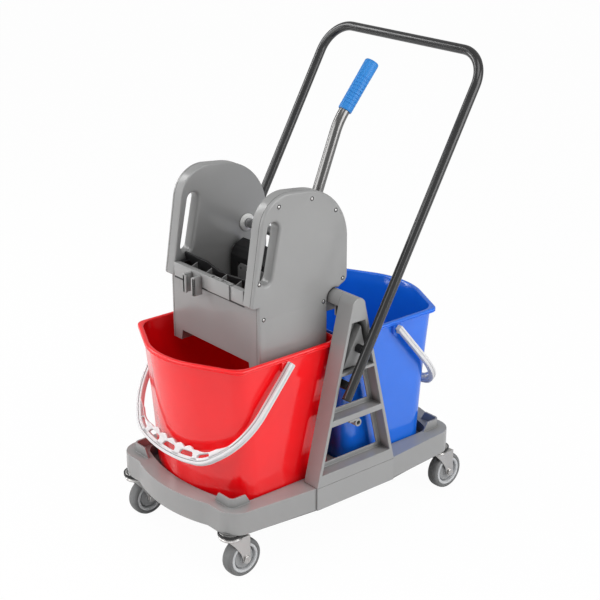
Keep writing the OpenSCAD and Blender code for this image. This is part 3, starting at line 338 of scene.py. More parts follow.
# small pieces have finer edges, and the large mouldings broader ones
EDGE_WIDTHS = {
    "cover_screws": 0.0004, "frame_screws": 0.0005, "handle_bolts": 0.0006, "pinions": 0.0003,
    "press_sectors": 0.0003, "press_pad": 0.0005, "sieve": 0.0006, "shaft_bushes": 0.0006,
    "handle_plugs": 0.0006, "side_frame_right": 0.0014, "side_frame_left": 0.0014,
    "cross_beam": 0.0014,
}


def dress(node, width):
    """Gives a CAD node the finish of its slot and rounded edges."""
    obj = frame["nodes"][node]
    obj.material_slots[0].material = FINISHES[slot_of[node]]
    weld = obj.modifiers.new("weld", "WELD")
    weld.merge_threshold = WELD_REACH
    flats = obj.modifiers.new("flats", "DECIMATE")
    flats.decimate_type = "DISSOLVE"
    flats.angle_limit = FLAT_LIMIT
    edge = obj.modifiers.new("edge", "BEVEL")
    edge.width = width
    edge.segments = EDGE_STEPS
    edge.limit_method = "ANGLE"
    edge.angle_limit = EDGE_LIMIT
    edge.use_clamp_overlap = False
    smooth = obj.modifiers.new("smooth", "WEIGHTED_NORMAL")
    smooth.weight = FULL_WEIGHT


for node in frame["nodes"]:
    dress(node, EDGE_WIDTHS.get(node, EDGE_ROUND))
print("dressed:", len(frame["nodes"]))

# %% [markdown]
# ## Mesh helpers
# Nearly every piece here is made in one of three ways: rings of points joined into a skin, a profile
# turned round an axle, or a flat outline with holes that gets a thickness. The first one only needs
# a band of faces from each ring to the next. `bmesh` makes it face by face, so the result is clean
# and closed.

# %% Mesh helpers
SHARP = radians(40)


def placed(name, mesh_maker, node_or_nodes, body, slot, material=None):
    """Makes a bmesh a piece that rides on a body and replaces the CAD nodes that it stands for."""
    mesh = bpy.data.meshes.new(name)
    bmesh.ops.recalc_face_normals(mesh_maker, faces=mesh_maker.faces[:])
    mesh_maker.to_mesh(mesh)
    mesh_maker.free()
    mesh.materials.append(material or FINISHES[slot])
    for face in mesh.polygons:
        face.use_smooth = True
    mesh.set_sharp_from_angle(angle=SHARP)
    obj = linked(name, mesh)
    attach(obj, body)
    if node_or_nodes:
        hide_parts(*node_or_nodes)
    return obj


def bridge(bm, loops):
    """Joins each loop of points to the next one with a band of faces."""
    for lower, upper in zip(loops, loops[1:]):
        for i in range(len(lower)):
            j = (i + 1) % len(lower)
            bm.faces.new((lower[i], lower[j], upper[j], upper[i]))


def skin(rings, closed_ends=True):
    """A bmesh skin over rings that all have the same number of points."""
    bm = bmesh.new()
    rows = [[bm.verts.new(point) for point in ring] for ring in rings]
    bridge(bm, rows)
    if closed_ends:
        bm.faces.new(rows[0][::-1])
        bm.faces.new(rows[-1])
    return bm


def add_mesh(bm, extra):
    """Moves the mesh of one builder into another."""
    mesh = bpy.data.meshes.new("extra")
    extra.to_mesh(mesh)
    extra.free()
    bm.from_mesh(mesh)
    bpy.data.meshes.remove(mesh)


def moved(bm, rule):
    """Moves each point of a mesh to where a rule of its x, y and z says."""
    for vertex in bm.verts:
        vertex.co = rule(*vertex.co)
    return bm


print("edges stay crisp from degrees:", round(degrees(SHARP)))

# %% Points on circles
QUARTER = [radians(a) for a in range(0, 91, 15)]


def circle(radius, steps):
    """Even points once round a circle about the origin."""
    turns = [2 * pi * i / steps for i in range(steps)]
    return [(radius * cos(t), radius * sin(t)) for t in turns]


def on_circle(centre, radius, angle):
    """The point of a circle at an angle."""
    turn = radians(angle)
    return centre[0] + radius * cos(turn), centre[1] + radius * sin(turn)


def between(start, end, steps):
    """Evenly spaced values from one to another, both included."""
    return [start + (end - start) * i / steps for i in range(steps + 1)]


def arc(centre, radius, start, end, steps):
    """Points on an arc from one angle to another, in degrees."""
    return [on_circle(centre, radius, turn) for turn in between(start, end, steps)]


print("points in a quarter turn:", len(QUARTER))

# %% [markdown]
# ## Buckets
# A mop bucket is one injection moulding. Its outer end is drawn to a blunt point, so that the two
# oblique flanks pour well, and the whole outline shrinks towards the foot so that the mould lets go.
# It could be a cube with subdivision, but an even wall and a crisp lip are easier as rings: three
# outlines with the same number of points are enough, for the foot, the wall's top and the lip, and
# every other ring is a blend of two of them.

# %% Bucket outline
MM = 0.001
BUCKET_H = 285.0
INNER_END, INNER_DRAFT, INNER_CORNER = 6.0, 9.0, 28.0
CORNER_STEPS, NOSE_STEPS = 12, 40
# half width, reach of the bowed end, radius of its nose, slope of its flanks, radius of its corners
FOOT = {"half": 145.0, "reach": 261.5, "nose": 200.0, "slope": 22.0, "corner": 45.0,
        "inner": INNER_END + INNER_DRAFT}
WALL_TOP = {"half": 151.0, "reach": 295.0, "nose": 150.0, "slope": 26.6, "corner": 36.0,
            "inner": INNER_END}
LIP = {"half": 157.0, "reach": 301.0, "nose": 156.0, "slope": 26.6, "corner": 19.0,
       "inner": INNER_END - 3}


def outline(shape, inset):
    """A closed outline bowed towards +Y, drawn in evenly by inset."""
    lean, corner, nose = shape["slope"], shape["corner"], shape["nose"]
    slope = radians(lean)
    nose_x = nose * sin(slope)
    nose_y = shape["reach"] - nose * (1 - cos(slope))
    side = shape["half"] - corner
    shoulder = nose_y - (side - nose_x) * tan(slope) - corner / cos(slope)
    inner = shape["half"] - INNER_CORNER
    heel = shape["inner"] + INNER_CORNER
    return (arc((inner, heel), INNER_CORNER - inset, -90, 0, CORNER_STEPS)
            + arc((side, shoulder), corner - inset, 0, 90 - lean, CORNER_STEPS)
            + arc((0, shape["reach"] - nose), nose - inset, 90 - lean, 90 + lean, NOSE_STEPS)
            + arc((-side, shoulder), corner - inset, 90 + lean, 180, CORNER_STEPS)
            + arc((-inner, heel), INNER_CORNER - inset, 180, 270, CORNER_STEPS))


def blended(first, second, share):
    """An outline part of the way from the first to the second."""
    return [(a[0] + (b[0] - a[0]) * share, a[1] + (b[1] - a[1]) * share)
            for a, b in zip(first, second)]


print("points round a bucket:", len(outline(FOOT, 0)))

# %% [markdown]
# The profile walks up the outside, over the lip and down the inside. The wall flares a little more
# near the top, and the lip is a hollow roll with a thin groove along its side.

# %% Bucket profile
WALL, WALL_STEPS = 2.6, 12
FOOT_ROUND = 9.0
FLARE = 1.45
LIP_UNDER, LIP_INSIDE = 9.5, 2.4
# share of the way from the wall to the lip's edge, and drop below the lip's top
LIP_PATH = (
    (0.10, 8.9), (0.35, 8.4), (0.80, 8.3), (0.93, 8.0), (1.0, 7.3), (1.0, 6.0), (0.97, 5.6),
    (0.80, 5.2), (0.80, 4.8), (0.97, 4.4), (1.0, 4.0), (1.0, 2.6), (0.96, 1.5), (0.86, 0.7),
    (0.68, 0.15), (0.45, 0.0), (0.0, 0.0), (-0.22, 0.3), (-0.36, 1.0))


def wall_ring(height, inset):
    """The wall's outline at a height above the foot."""
    share = (height / BUCKET_H) ** FLARE
    flat = blended(outline(FOOT, inset), outline(WALL_TOP, inset), share)
    return [(x, y, height) for x, y in flat]


def wall_rings(start, end, inset):
    """Evenly spaced rings of a wall."""
    return [wall_ring(height, inset) for height in between(start, end, WALL_STEPS)]


def foot_rings(inset):
    """The rings of the round foot, from the floor up."""
    return [wall_ring(inset + FOOT_ROUND * (1 - cos(t)), inset + FOOT_ROUND * (1 - sin(t)))
            for t in QUARTER]


def lip_ring(out, drop):
    """A ring between the wall's top (out 0) and the lip's edge (out 1), below the lip's top."""
    flat = blended(outline(WALL_TOP, 0), outline(LIP, 0), out)
    return [(x, y, BUCKET_H - drop) for x, y in flat]


bucket_rings = (
    foot_rings(0)
    + wall_rings(FOOT_ROUND, BUCKET_H - LIP_UNDER, 0)[1:]
    + [lip_ring(out, drop) for out, drop in LIP_PATH]
    + wall_rings(BUCKET_H - LIP_INSIDE, WALL + FOOT_ROUND, WALL)
    + foot_rings(WALL)[-2::-1])
print("rings of a bucket:", len(bucket_rings))

# %% [markdown]
# Two ears hang under the lip and hold the pins of the bail. Each is a thick tongue with a round end
# and a bore for the pin.

# %% Bucket bodies
EAR_IN, EAR_OUT, EAR_HALF, EAR_STEPS = 148.0, 157.4, 9.5, 24
EAR_Y, EAR_DROP, PIN_BORE = 136.5, 21.5, 4.3
EAR_SOFT, EAR_TOP, EAR_STRETCH = 0.8, 8.4, 1.35
EAR_Z = BUCKET_H - EAR_DROP


def ear_point(y, z, half):
    """A point of a circle moved to an ear's outline: round below, square and stretched above."""
    if z > 0:
        half /= max(abs(y), abs(z))
        return EAR_Y + y * half, EAR_Z + min(z * half, EAR_DROP - EAR_TOP) * EAR_STRETCH
    return EAR_Y + y * half, EAR_Z + z * half


def tongue(side):
    """One ear as bands of faces, from the wall to its outer face and back through its bore."""
    bm = bmesh.new()
    rims = [[bm.verts.new((side * x, *ear_point(y, z, half))) for y, z in circle(1, EAR_STEPS)]
            for x, half in ((EAR_IN, EAR_HALF), (EAR_OUT - EAR_SOFT, EAR_HALF),
                            (EAR_OUT, EAR_HALF - EAR_SOFT))]
    pin = circle(PIN_BORE, EAR_STEPS)
    bores = [[bm.verts.new((side * x, EAR_Y + y, EAR_Z + z)) for y, z in pin]
             for x in (EAR_OUT, EAR_IN)]
    bridge(bm, rims + bores + rims[:1])
    return bm


def bucket(name, node, body, slot, facing):
    """A bucket at its node's place; facing is 1 for the rear bucket and -1 for the front one."""
    low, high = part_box(node)
    edge = low.y if facing > 0 else high.y
    middle = edge - facing * LIP["inner"] * MM
    bm = skin(bucket_rings)
    for side in (-1, 1):
        add_mesh(bm, tongue(side))
    moved(bm, lambda x, y, z: (facing * x * MM, middle + facing * y * MM, low.z + z * MM))
    return placed(name, bm, (node,), body, slot)


red = bucket("red_bucket_shell", "red_bucket", "red_bucket_body", "red_plastic", -1)
blue = bucket("blue_bucket_shell", "blue_bucket", "blue_bucket_body", "blue_plastic", 1)
print("bucket vertices:", len(red.data.vertices), len(blue.data.vertices))

# %% [markdown]
# ## Wringer housings
# Each side of the wringer is a flat box of two mouldings: an inner shell and an outer cover that meet
# at a seam. A bevelled slab would do for the outside, but the hollow holds the gears, so each half is
# made as a tray: the outline is repeated round a soft outer edge, the face is filled between that
# edge and its holes, and the same path goes back along the inside. The hand slot runs through both.

# %% Housing outline
SHIFT_Y = -10.25
BEAM_Z = 477.3
TRAY_WALL = 3.0
SEAM_X, COVER_X, SHELL_X = 124.0, 131.0, 103.0
TOE_LEAN, TOE_R, TOE_Y, TOE_Z, STEP_Z = 9.0, 5.0, -189.0, BEAM_Z + 41, BEAM_Z + 20
BROW_R, REAR_R, REAR_Y, TOP_SLOPE = 62.0, 106.0, 31.0, 6.2
PANEL_TOP, PANEL_FOOT, NOTCH_R = BEAM_Z + 218, BEAM_Z - 111, 17.0
HEEL_R, LOW_Y = 16.0, -177.0


def slope_tan(angle):
    """The rise of a slope over a run of 1."""
    return tan(radians(angle))


def toe_at(z, inset):
    """Where the leaning front edge stands at a height."""
    return TOE_Y + (z - TOE_Z) * slope_tan(TOE_LEAN) + inset / cos(radians(TOE_LEAN))


def housing(inset, low):
    """The outline in Y and Z, drawn in by inset; low is where its lower front edge stands."""
    toe_z = STEP_Z + TOE_R
    brow_z = PANEL_TOP - BROW_R
    brow_y = toe_at(brow_z, BROW_R)
    rear_y = REAR_Y - REAR_R
    fall = (REAR_R - BROW_R) / cos(radians(TOP_SLOPE))
    rear_z = brow_z - (rear_y - brow_y) * slope_tan(TOP_SLOPE) - fall
    return ([(-NOTCH_R - inset, PANEL_FOOT + inset)]
            + arc((0, BEAM_Z), NOTCH_R + inset, 180, 62, 14)
            + arc((REAR_Y - HEEL_R, STEP_Z + HEEL_R), HEEL_R - inset, -80, 0, 10)
            + arc((rear_y, rear_z), REAR_R - inset, 0, 90 - TOP_SLOPE, 28)
            + arc((brow_y, brow_z), BROW_R - inset, 90 - TOP_SLOPE, 180 - TOE_LEAN, 22)
            + arc((toe_at(toe_z, TOE_R), toe_z), TOE_R - inset, 180 - TOE_LEAN, 270, 8)
            + [(low + inset, STEP_Z + inset), (low + inset, PANEL_FOOT + inset)])


print("points round a housing:", len(housing(0, LOW_Y)))

# %% Holes of the housings
SLOT_TOP, SLOT_FOOT, SLOT_HALF = (-141.0, BEAM_Z + 158), (-159.0, BEAM_Z + 72), 12.5
# Y of each screw, and its height above the beam
SCREWS = [(-130, 197), (-55, 197), (1, 165), (-175, 65), (19, 32), (-166, -3), (-27, -3),
          (-160, -90), (-34, -90)]
SCREW_WELL = 3.9
SHAFT_AT, SHAFT_BORE = (-18.0, BEAM_Z + 89), 13.1
PRESS_AT, PRESS_BORE = (-46.62, 520.51), 7.1


def slot_ring(grow):
    """The hand slot's outline, wider by grow."""
    run = (SLOT_TOP[0] - SLOT_FOOT[0], SLOT_TOP[1] - SLOT_FOOT[1])
    turn = degrees(atan2(run[1], run[0]))
    return (arc(SLOT_TOP, SLOT_HALF + grow, turn - 90, turn + 90, 18)
            + arc(SLOT_FOOT, SLOT_HALF + grow, turn + 90, turn + 270, 18))


def bore_ring(centre, radius):
    """A function that gives a round bore's outline, wider by grow."""
    return lambda grow: arc(centre, radius + grow, 0, 345, 23)


screw_bores = [bore_ring((y, BEAM_Z + up), SCREW_WELL) for y, up in SCREWS]
axle_bores = [bore_ring(SHAFT_AT, SHAFT_BORE), bore_ring(PRESS_AT, PRESS_BORE)]
print("screw holes in a cover:", len(screw_bores))

# %% Trays
SIDES = ((1, "right"), (-1, "left"))
FRONT_T = 3.5
COVER_SOFT, SHELL_SOFT, SEAM_SOFT, SLOT_SOFT, BORE_SOFT = 4.5, 2.5, 0.7, 6.0, 0.5


def tray(name, node, side, face, low, edge, bores):
    """Half a housing: the hand slot gets a tube to the seam, and bores only pierce the face."""
    bm = bmesh.new()
    way = 1 if face > SEAM_X else -1
    back = face - way * TRAY_WALL

    def ring(points, x):
        return [bm.verts.new((side * x * MM, (y + SHIFT_Y) * MM, z * MM)) for y, z in points]

    def filled(loops):
        edges = []
        for loop in loops:
            for pair in zip(loop, loop[1:] + loop[:1]):
                edges.append(bm.edges.get(pair) or bm.edges.new(pair))
        bmesh.ops.triangle_fill(bm, use_beauty=True, edges=edges)

    rim = [(SEAM_SOFT, SEAM_X), (0.0, SEAM_X + way * SEAM_SOFT)]
    rim += [(edge * (1 - cos(t)), face - way * edge * (1 - sin(t))) for t in QUARTER]
    outer = [ring(housing(inset, low), x) for inset, x in rim]
    inner = [ring(housing(TRAY_WALL, low), x) for x in (back, SEAM_X)]
    bridge(bm, outer)
    bridge(bm, inner + outer[:1])
    faces, backs = [outer[-1]], [inner[0]]
    for shape, soft in [(slot_ring, SLOT_SOFT)] + [(bore, BORE_SOFT) for bore in bores]:
        lips = [ring(shape(soft * (1 - sin(t))), face - way * soft * (1 - cos(t)))
                for t in QUARTER]
        path = [(0, back)]
        if shape is slot_ring:
            path = [(0, SEAM_X), (TRAY_WALL, SEAM_X), (TRAY_WALL, back)]
        lips += [ring(shape(grow), x) for grow, x in path]
        bridge(bm, lips)
        faces.append(lips[0])
        backs.append(lips[-1])
    filled(faces)
    filled(backs)
    return placed(name, bm, (node,), "wringer", "grey_plastic")


halves = []
for side, word in SIDES:
    halves += [
        tray(f"{word}_cover_tray", f"cover_{word}", side, COVER_X, LOW_Y, COVER_SOFT, screw_bores),
        tray(f"{word}_shell_tray", f"shell_{word}", side, SHELL_X, LOW_Y + FRONT_T, SHELL_SOFT,
             axle_bores)]
print("housing halves:", [half.name for half in halves])

# %% [markdown]
# ## Front rail
# Between the housings runs a hollow rail. It carries a clip for a mop handle, made of two bent lugs,
# and a small box with two slots. Boxes joined by a boolean would do, but here each part is a short
# block with rounded edges, and the blocks simply overlap, as the walls of one moulding do. A thin
# black strip under the rail is painted shadow where the front panel slips in behind it, and a short
# upright piece of it darkens the joint beside the box.

# %% Front rail
RAIL_Y, RAIL_BACK, RAIL_TOP, RAIL_FOOT, RAIL_HALF = -190.0, -178.0, 525.3, 498.9, 103.0
RAIL_WALL = 3.0
CLIP_AT, CLIP_GAP, CLIP_T = -34.0, 22.0, 6.0
CLIP_OUT, CLIP_DROP, CLIP_SOFT, HOOK_IN, HOOK_T = 18.0, 40.0, 1.2, 3.5, 4.0
BOX_FROM, BOX_TO, BOX_OUT, BOX_BACK, BOX_DEEP, BOX_RISE = 2.0, 66.0, 2.5, 10.0, 8.0, 2.0
BOX_SLOTS = ((BOX_FROM + 8, BOX_FROM + 26), (BOX_FROM + 36, BOX_FROM + 54))
SPLIT_FROM, SPLIT_TO = BOX_TO + 0.9, BOX_TO + 2.1
SHADE_Y, SHADE_SOFT = RAIL_Y + 1.2, 0.2


def block(bm, low, high, edge=0.8, steps=3):
    """Adds a box from one corner to the other, in millimetres, with rounded edges."""
    made = bmesh.ops.create_cube(bm, size=1.0)["verts"]
    for vertex in made:
        vertex.co = [(a + b) / 2 + (b - a) * c for a, b, c in zip(low, high, vertex.co)]
    edges = list({e for vertex in made for e in vertex.link_edges})
    bmesh.ops.bevel(bm, geom=edges, offset=edge, segments=steps, profile=0.5, affect="EDGES")


def in_frame(bm, x=0, y=0, z=0):
    """Puts a mesh in millimetres at a place in the CAD model's axes, and so in the frame."""
    return moved(bm, lambda a, b, c: ((a + x) * MM, (b + y + SHIFT_Y) * MM, (c + z) * MM))


rail = bmesh.new()
for start, end in ((-RAIL_HALF, SPLIT_FROM), (SPLIT_TO, RAIL_HALF)):
    block(rail, (start, RAIL_Y, RAIL_FOOT), (end, RAIL_Y + RAIL_WALL, RAIL_TOP))
for front, foot, top in ((0.6, RAIL_TOP - RAIL_WALL, RAIL_TOP - 0.2),
                         (3.2, RAIL_FOOT - 1.4, RAIL_FOOT + 2.0)):
    block(rail, (-RAIL_HALF, RAIL_Y + front, foot), (RAIL_HALF, RAIL_BACK, top))
face, rear, lid = RAIL_Y - BOX_OUT, RAIL_Y + BOX_BACK, RAIL_TOP + BOX_RISE
block(rail, (BOX_FROM, face, RAIL_FOOT + 0.4), (BOX_TO, face + RAIL_WALL, lid))
block(rail, (BOX_FROM, rear - 2.5, RAIL_TOP - BOX_DEEP), (BOX_TO, rear, lid))
stops = [BOX_FROM, *BOX_SLOTS[0], *BOX_SLOTS[1], BOX_TO]
for start, end in zip(stops[::2], stops[1::2]):
    block(rail, (start, face + 0.5, RAIL_TOP - BOX_DEEP), (end, rear - 0.5, lid))
for way in (-1, 1):
    inner = CLIP_AT + way * CLIP_GAP / 2
    outer = inner + way * CLIP_T
    tip = inner - way * HOOK_IN
    for edge, back, drop in ((inner, RAIL_Y + 1, 4), (tip, RAIL_Y - CLIP_OUT + HOOK_T, 6)):
        block(rail, (min(edge, outer), RAIL_Y - CLIP_OUT, RAIL_TOP - CLIP_DROP),
              (max(edge, outer), back, RAIL_TOP - drop), CLIP_SOFT)
placed("front_rail_moulding", in_frame(rail), ("front_rail",), "wringer", "grey_plastic")
# painted shadow: a black strip under the rail's foot, and an upright one behind the joint by the box
rail_shade = bmesh.new()
block(rail_shade, (-RAIL_HALF, SHADE_Y, RAIL_FOOT - 3.8), (RAIL_HALF, SHADE_Y + 3.0, RAIL_FOOT + 0.6),
      SHADE_SOFT, 1)
block(rail_shade, (SPLIT_FROM - 0.3, SHADE_Y, RAIL_FOOT), (SPLIT_TO + 0.3, SHADE_Y + 1.2, RAIL_TOP - 0.6),
      SHADE_SOFT, 1)
placed("rail_painted_shadow", in_frame(rail_shade), (), "wringer", "black_plastic")
print("clip opening mm:", CLIP_GAP, "box slots:", len(BOX_SLOTS))

# %% [markdown]
# ## Sieve ribs and shaft flanges
# Thin ribs brace the sieve against the rail, and a white flange on each bush keeps the lever's shaft
# from rubbing on the housing. The ribs are little prisms, and a flange is a profile turned round
# the shaft.

# %% Sieve ribs
RIBS_AT, RIB_HALF = (-64.0, -20.0, 24.0, 67.0), 0.9
# Y, foot and top of a rib's two ends
RIB_ENDS = ((-177.8, 503.0, 524.0), (-164.2, 503.0, 529.5))
ribs = bmesh.new()
for x in RIBS_AT:
    left, right = x - RIB_HALF, x + RIB_HALF
    add_mesh(ribs, skin([[(left, y, foot), (right, y, foot), (right, y, top), (left, y, top)]
                         for y, foot, top in RIB_ENDS]))
placed("sieve_ribs", in_frame(ribs), (), "wringer", "pad_plastic")
print("sieve ribs:", len(RIBS_AT))

# %% Shaft flanges
# radius, and distance from the shell's face
FLANGE = [(9.3, 0.0), (16.2, 0.0), (16.8, -0.6), (16.8, -2.4), (16.0, -3.4), (13.6, -4.2),
          (13.0, -5.4), (9.6, -5.8), (9.3, -5.4)]


def lathe(profile, along, steps=64):
    """Turns a closed profile of radius and distance round X or Z through the origin."""
    rows = [[(way, a, b) if along == "x" else (a, b, way) for a, b in circle(radius, steps)]
            for radius, way in profile]
    bm = skin(rows + rows[:1], closed_ends=False)
    bmesh.ops.remove_doubles(bm, verts=bm.verts, dist=0.001)
    return bm


for side, word in SIDES:
    flange = moved(lathe(FLANGE, "x", 48), lambda x, y, z: (side * (SHELL_X + x), y, z))
    placed(f"shaft_flange_{word}", in_frame(flange, 0, *SHAFT_AT), (), "wringer", "white_plastic")
print("flange radius mm:", max(radius for radius, _ in FLANGE))

# %% [markdown]
# ## Casters
# A swivel caster has a pressed steel fork under a round raceway, and a wheel with a rubber tyre on a
# moulded centre. Everything on the wheel is round, so it is turned from a profile, like on a lathe.
# Each leg of the fork is a bent sheet: a straight strip down to the axle and a web that leans inwards
# towards the raceway's front, with a crease between them that catches the light.

# %% Caster profiles
WHEEL_R, TRAIL, CASTER_X, CASTER_Y = 37.5, 23.0, 150.0, 262.0
CROWN_Z, CROWN_R, FORK_OUT = 83.0, 22.0, 16.5


def mirrored(half):
    """A profile made whole from the half on one side of the wheel's middle."""
    return [(r, -x) for r, x in half] + [(r, x) for r, x in reversed(half)]


TYRE = mirrored([(29.5, 11.0), (30.3, 11.9), (32.2, 12.0), (34.4, 11.2), (36.2, 9.4), (37.1, 6.8),
                 (WHEEL_R, 3.4), (WHEEL_R, 0.0)])
DISC = mirrored([(4.1, 12.9), (9.4, 12.9), (10.2, 12.2), (10.6, 9.4), (11.6, 8.6), (19.8, 8.0),
                 (21.2, 6.6), (22.4, 3.4), (23.2, 3.2)])
RING = mirrored([(23.2, 2.0), (23.2, 9.6), (24.0, 11.4), (25.2, 12.1), (27.6, 12.1), (28.6, 11.6),
                 (29.3, 10.6)])
CROWN = [(5.1, 92.0), (16.0, 92.0), (18.6, 91.8), (20.8, 91.0), (21.6, 89.8), (21.0, 88.8),
         (20.6, 88.2), (21.2, 87.7), (CROWN_R, 86.8), (CROWN_R, 85.0), (21.2, 83.6),
         (19.6, CROWN_Z), (5.1, CROWN_Z)]
DUST_RING = [(14.0, 92.5), (22.4, 92.5), (22.8, 91.4), (23.6, 91.4), (24.2, 92.2), (24.2, 97.0),
             (14.0, 97.2)]
print("wheel width mm:", 2 * max(x for _, x in TYRE), "crown radius mm:", CROWN_R)

# %% Fork legs
LEG_HALF, LEG_STEPS, LEG_BOW, LEG_T, LEG_LEAN = 8.5, 14, 1.7, 2.2, 0.22
LEG_FRONT, LEG_TOP, CREASE = 6 - CROWN_R, CROWN_Z + 1.5, TRAIL - LEG_HALF
ROOF_LOW = (1.2 - FORK_OUT, -9.0, CROWN_Z - 0.6)
ROOF_HIGH = (FORK_OUT - 1.2, TRAIL + 7.5, CROWN_Z + 2.0)
ROOF_SOFT = 0.9


def fork_leg(side):
    """A bent sheet: a front curve, a crease and a straight rear edge, on both of its faces."""
    curve = []
    for t in between(0, 1, LEG_STEPS):
        y = LEG_FRONT + (CREASE - LEG_FRONT) * (1 - (1 - t) ** LEG_BOW)
        curve.append((min(y, CREASE), LEG_TOP - (LEG_TOP - WHEEL_R) * t))
    end = arc((TRAIL, WHEEL_R), LEG_HALF, 180, 360, 12)[1:-1]
    bm = bmesh.new()
    rims = []
    for thick in (0.0, LEG_T):
        def vertex(y, z):
            lean = max(0.0, CREASE - y) * LEG_LEAN
            return bm.verts.new((side * (FORK_OUT - thick - lean), y, z))
        front = [vertex(y, z) for y, z in curve]
        middle = [vertex(CREASE + 0.01, z) for _, z in curve]
        rear = [vertex(TRAIL + LEG_HALF, z) for _, z in curve]
        bottom = [vertex(y, z) for y, z in end]
        for i in range(LEG_STEPS):
            bm.faces.new((front[i], front[i + 1], middle[i + 1], middle[i]))
            bm.faces.new((middle[i], middle[i + 1], rear[i + 1], rear[i]))
        bm.faces.new([middle[-1]] + bottom + [rear[-1]])
        rims.append(front + bottom + rear[::-1] + [middle[0]])
    bridge(bm, rims)
    bmesh.ops.remove_doubles(bm, verts=bm.verts, dist=0.02)
    return bm


print("points down a fork leg:", LEG_STEPS + 1)

# %% Four casters
CORNERS = {"fl": ("front_left", -1, -1), "fr": ("front_right", 1, -1),
           "rl": ("rear_left", -1, 1), "rr": ("rear_right", 1, 1)}

for corner, (word, across, along) in CORNERS.items():
    x, y = across * CASTER_X, along * CASTER_Y
    swivel, wheel = f"swivel_{word}", f"wheel_{word}"
    fork = lathe(CROWN, "z")
    for side in (-1, 1):
        add_mesh(fork, fork_leg(side))
    block(fork, ROOF_LOW, ROOF_HIGH, ROOF_SOFT)
    # the dust ring is a real part, coloured black as painted shadow under the base's skirt
    skirt_shade_ring = lathe(DUST_RING, "z")
    placed(f"dust_{corner}_ring", in_frame(skirt_shade_ring, x, y), (), "chassis", "black_plastic")
    placed(f"fork_{corner}_pressing", in_frame(fork, x, y), (f"fork_{corner}",), swivel, "zinc")
    for piece, profile, nodes, slot, look in (
            (f"tyre_{corner}_ring", TYRE, (f"tyre_{corner}",), "tyre_rubber", None),
            (f"hub_{corner}_disc", DISC, (f"hub_{corner}",), "hub_plastic", None),
            (f"hub_{corner}_rim", RING, (), "hub_plastic", FINISHES["hub_rim"])):
        turned = in_frame(lathe(profile, "x"), x, y + TRAIL, WHEEL_R)
        placed(piece, turned, nodes, wheel, slot, look)
print("casters:", list(CORNERS))

# %% [markdown]
# ## Seams and screw heads
# Each housing is two halves that meet in a fine groove, and domed screws sit in small wells on the
# covers. A groove this fine is only a dark line from a step away, so a thin black band lies at its
# bottom. In each well a black ring of painted shade is turned round the bright head, where the
# well's shade falls.

# %% Seams and screw heads
# radius, and distance from the cover's face
HEAD = [(0.05, -1.5), (2.5, -1.5), (2.7, -0.2), (2.2, 0.35), (1.2, 0.65), (0.05, 0.75)]
# a black ring of painted shade inside each screw's well
WELL_SHADE = [(2.6, -1.0), (SCREW_WELL, -1.0), (SCREW_WELL, 0.12), (2.6, 0.12)]
# depth inside the outline, and distance from the seam
SEAM_BAND = ((2.0, -0.6), (0.25, -0.6), (0.25, 0.6), (2.0, 0.6), (2.0, -0.6))

heads, well_shades, seams = bmesh.new(), bmesh.new(), bmesh.new()
for side in (-1, 1):
    for y, up in SCREWS:
        for whole, profile in ((heads, HEAD), (well_shades, WELL_SHADE)):
            add_mesh(whole, moved(lathe(profile, "x", 20), lambda a, b, c: (
                side * (COVER_X + a), b + y, c + BEAM_Z + up)))
    band = [[(side * (SEAM_X + x), y, z) for y, z in housing(inset, LOW_Y)]
            for inset, x in SEAM_BAND]
    add_mesh(seams, skin(band, False))
for name, whole, slot in (("cover_screw_heads", heads, "zinc"),
                          ("screw_well_painted_shade", well_shades, "black_plastic"),
                          ("housing_seam_gaps", seams, "black_plastic")):
    placed(name, in_frame(whole), (), "wringer", slot)
print("screw heads:", 2 * len(SCREWS))

# %% [markdown]
# ## Bails
# A bail is a moulded loop: two arms, wide elbows and an arched grip with holes and finger bumps. The
# band is one section swept along the loop's middle line, with a groove along three of its faces as
# the mould leaves it. The grip's plate is a flat outline with holes. A Blender curve can fill such an
# outline, give it a thickness and round its rims in one go, so the plate is made as a curve first.

# %% Bail path
BAIL_Z, BAIL_TILT = 381.8, radians(-49.5)
ARM_X, ARM_TOP, ARM_STRAIGHT, ARM_STEPS = 165.5, -12.5, 91.0, 8
SHOULDER, SHOULDER_R, SHOULDER_A = (21.5, 91.0), 150.0, 45.0
ELBOW, ELBOW_R, ELBOW_A = (58.977, 145.447), 85.0, 77.0
ARCH, ARCH_R = (0.0, -110.009), 347.176
BAND_T = 12.0


def loop_half(inset):
    """The right half of the loop, inside its outer edge, from the arm's end to the middle."""
    arm = [(ARM_X + BAND_T / 2 - inset, y) for y in between(ARM_TOP, ARM_STRAIGHT, ARM_STEPS)[:-1]]
    return (arm + arc(SHOULDER, SHOULDER_R - inset, 0, SHOULDER_A, 16)
            + arc(ELBOW, ELBOW_R - inset, SHOULDER_A, ELBOW_A, 12)[1:]
            + arc(ARCH, ARCH_R - inset, ELBOW_A, 90, 8)[1:])


def whole_loop(half):
    """A half and its mirror image."""
    return half + [(-x, y) for x, y in reversed(half[:-1])]


band_half = loop_half(BAND_T / 2)
band_line = whole_loop(band_half)
print("points along a bail:", len(band_line))

# %% Bail band
SECTION = [(-6.0, -0.9), (-6.0, 7.4), (-5.5, 8.5), (-4.4, 9.0), (-1.3, 9.0), (-1.0, 7.5), (1.0, 7.5),
           (1.3, 9.0), (4.4, 9.0), (5.5, 8.5), (6.0, 7.4), (6.0, 4.5), (4.6, 4.2), (4.6, 2.3),
           (6.0, 2.0), (6.0, -0.9), (5.5, -2.0), (4.4, -2.5), (1.3, -2.5), (1.0, -1.0), (-1.0, -1.0),
           (-1.3, -2.5), (-4.4, -2.5), (-5.5, -2.0)]
# a thin dark strip of painted shade at the floor of the top groove
GROOVE_SHADE = [(-1.0, 7.0), (-1.0, 7.8), (1.0, 7.8), (1.0, 7.0)]
END_SOFT, END_SHARE = 1.4, 0.80


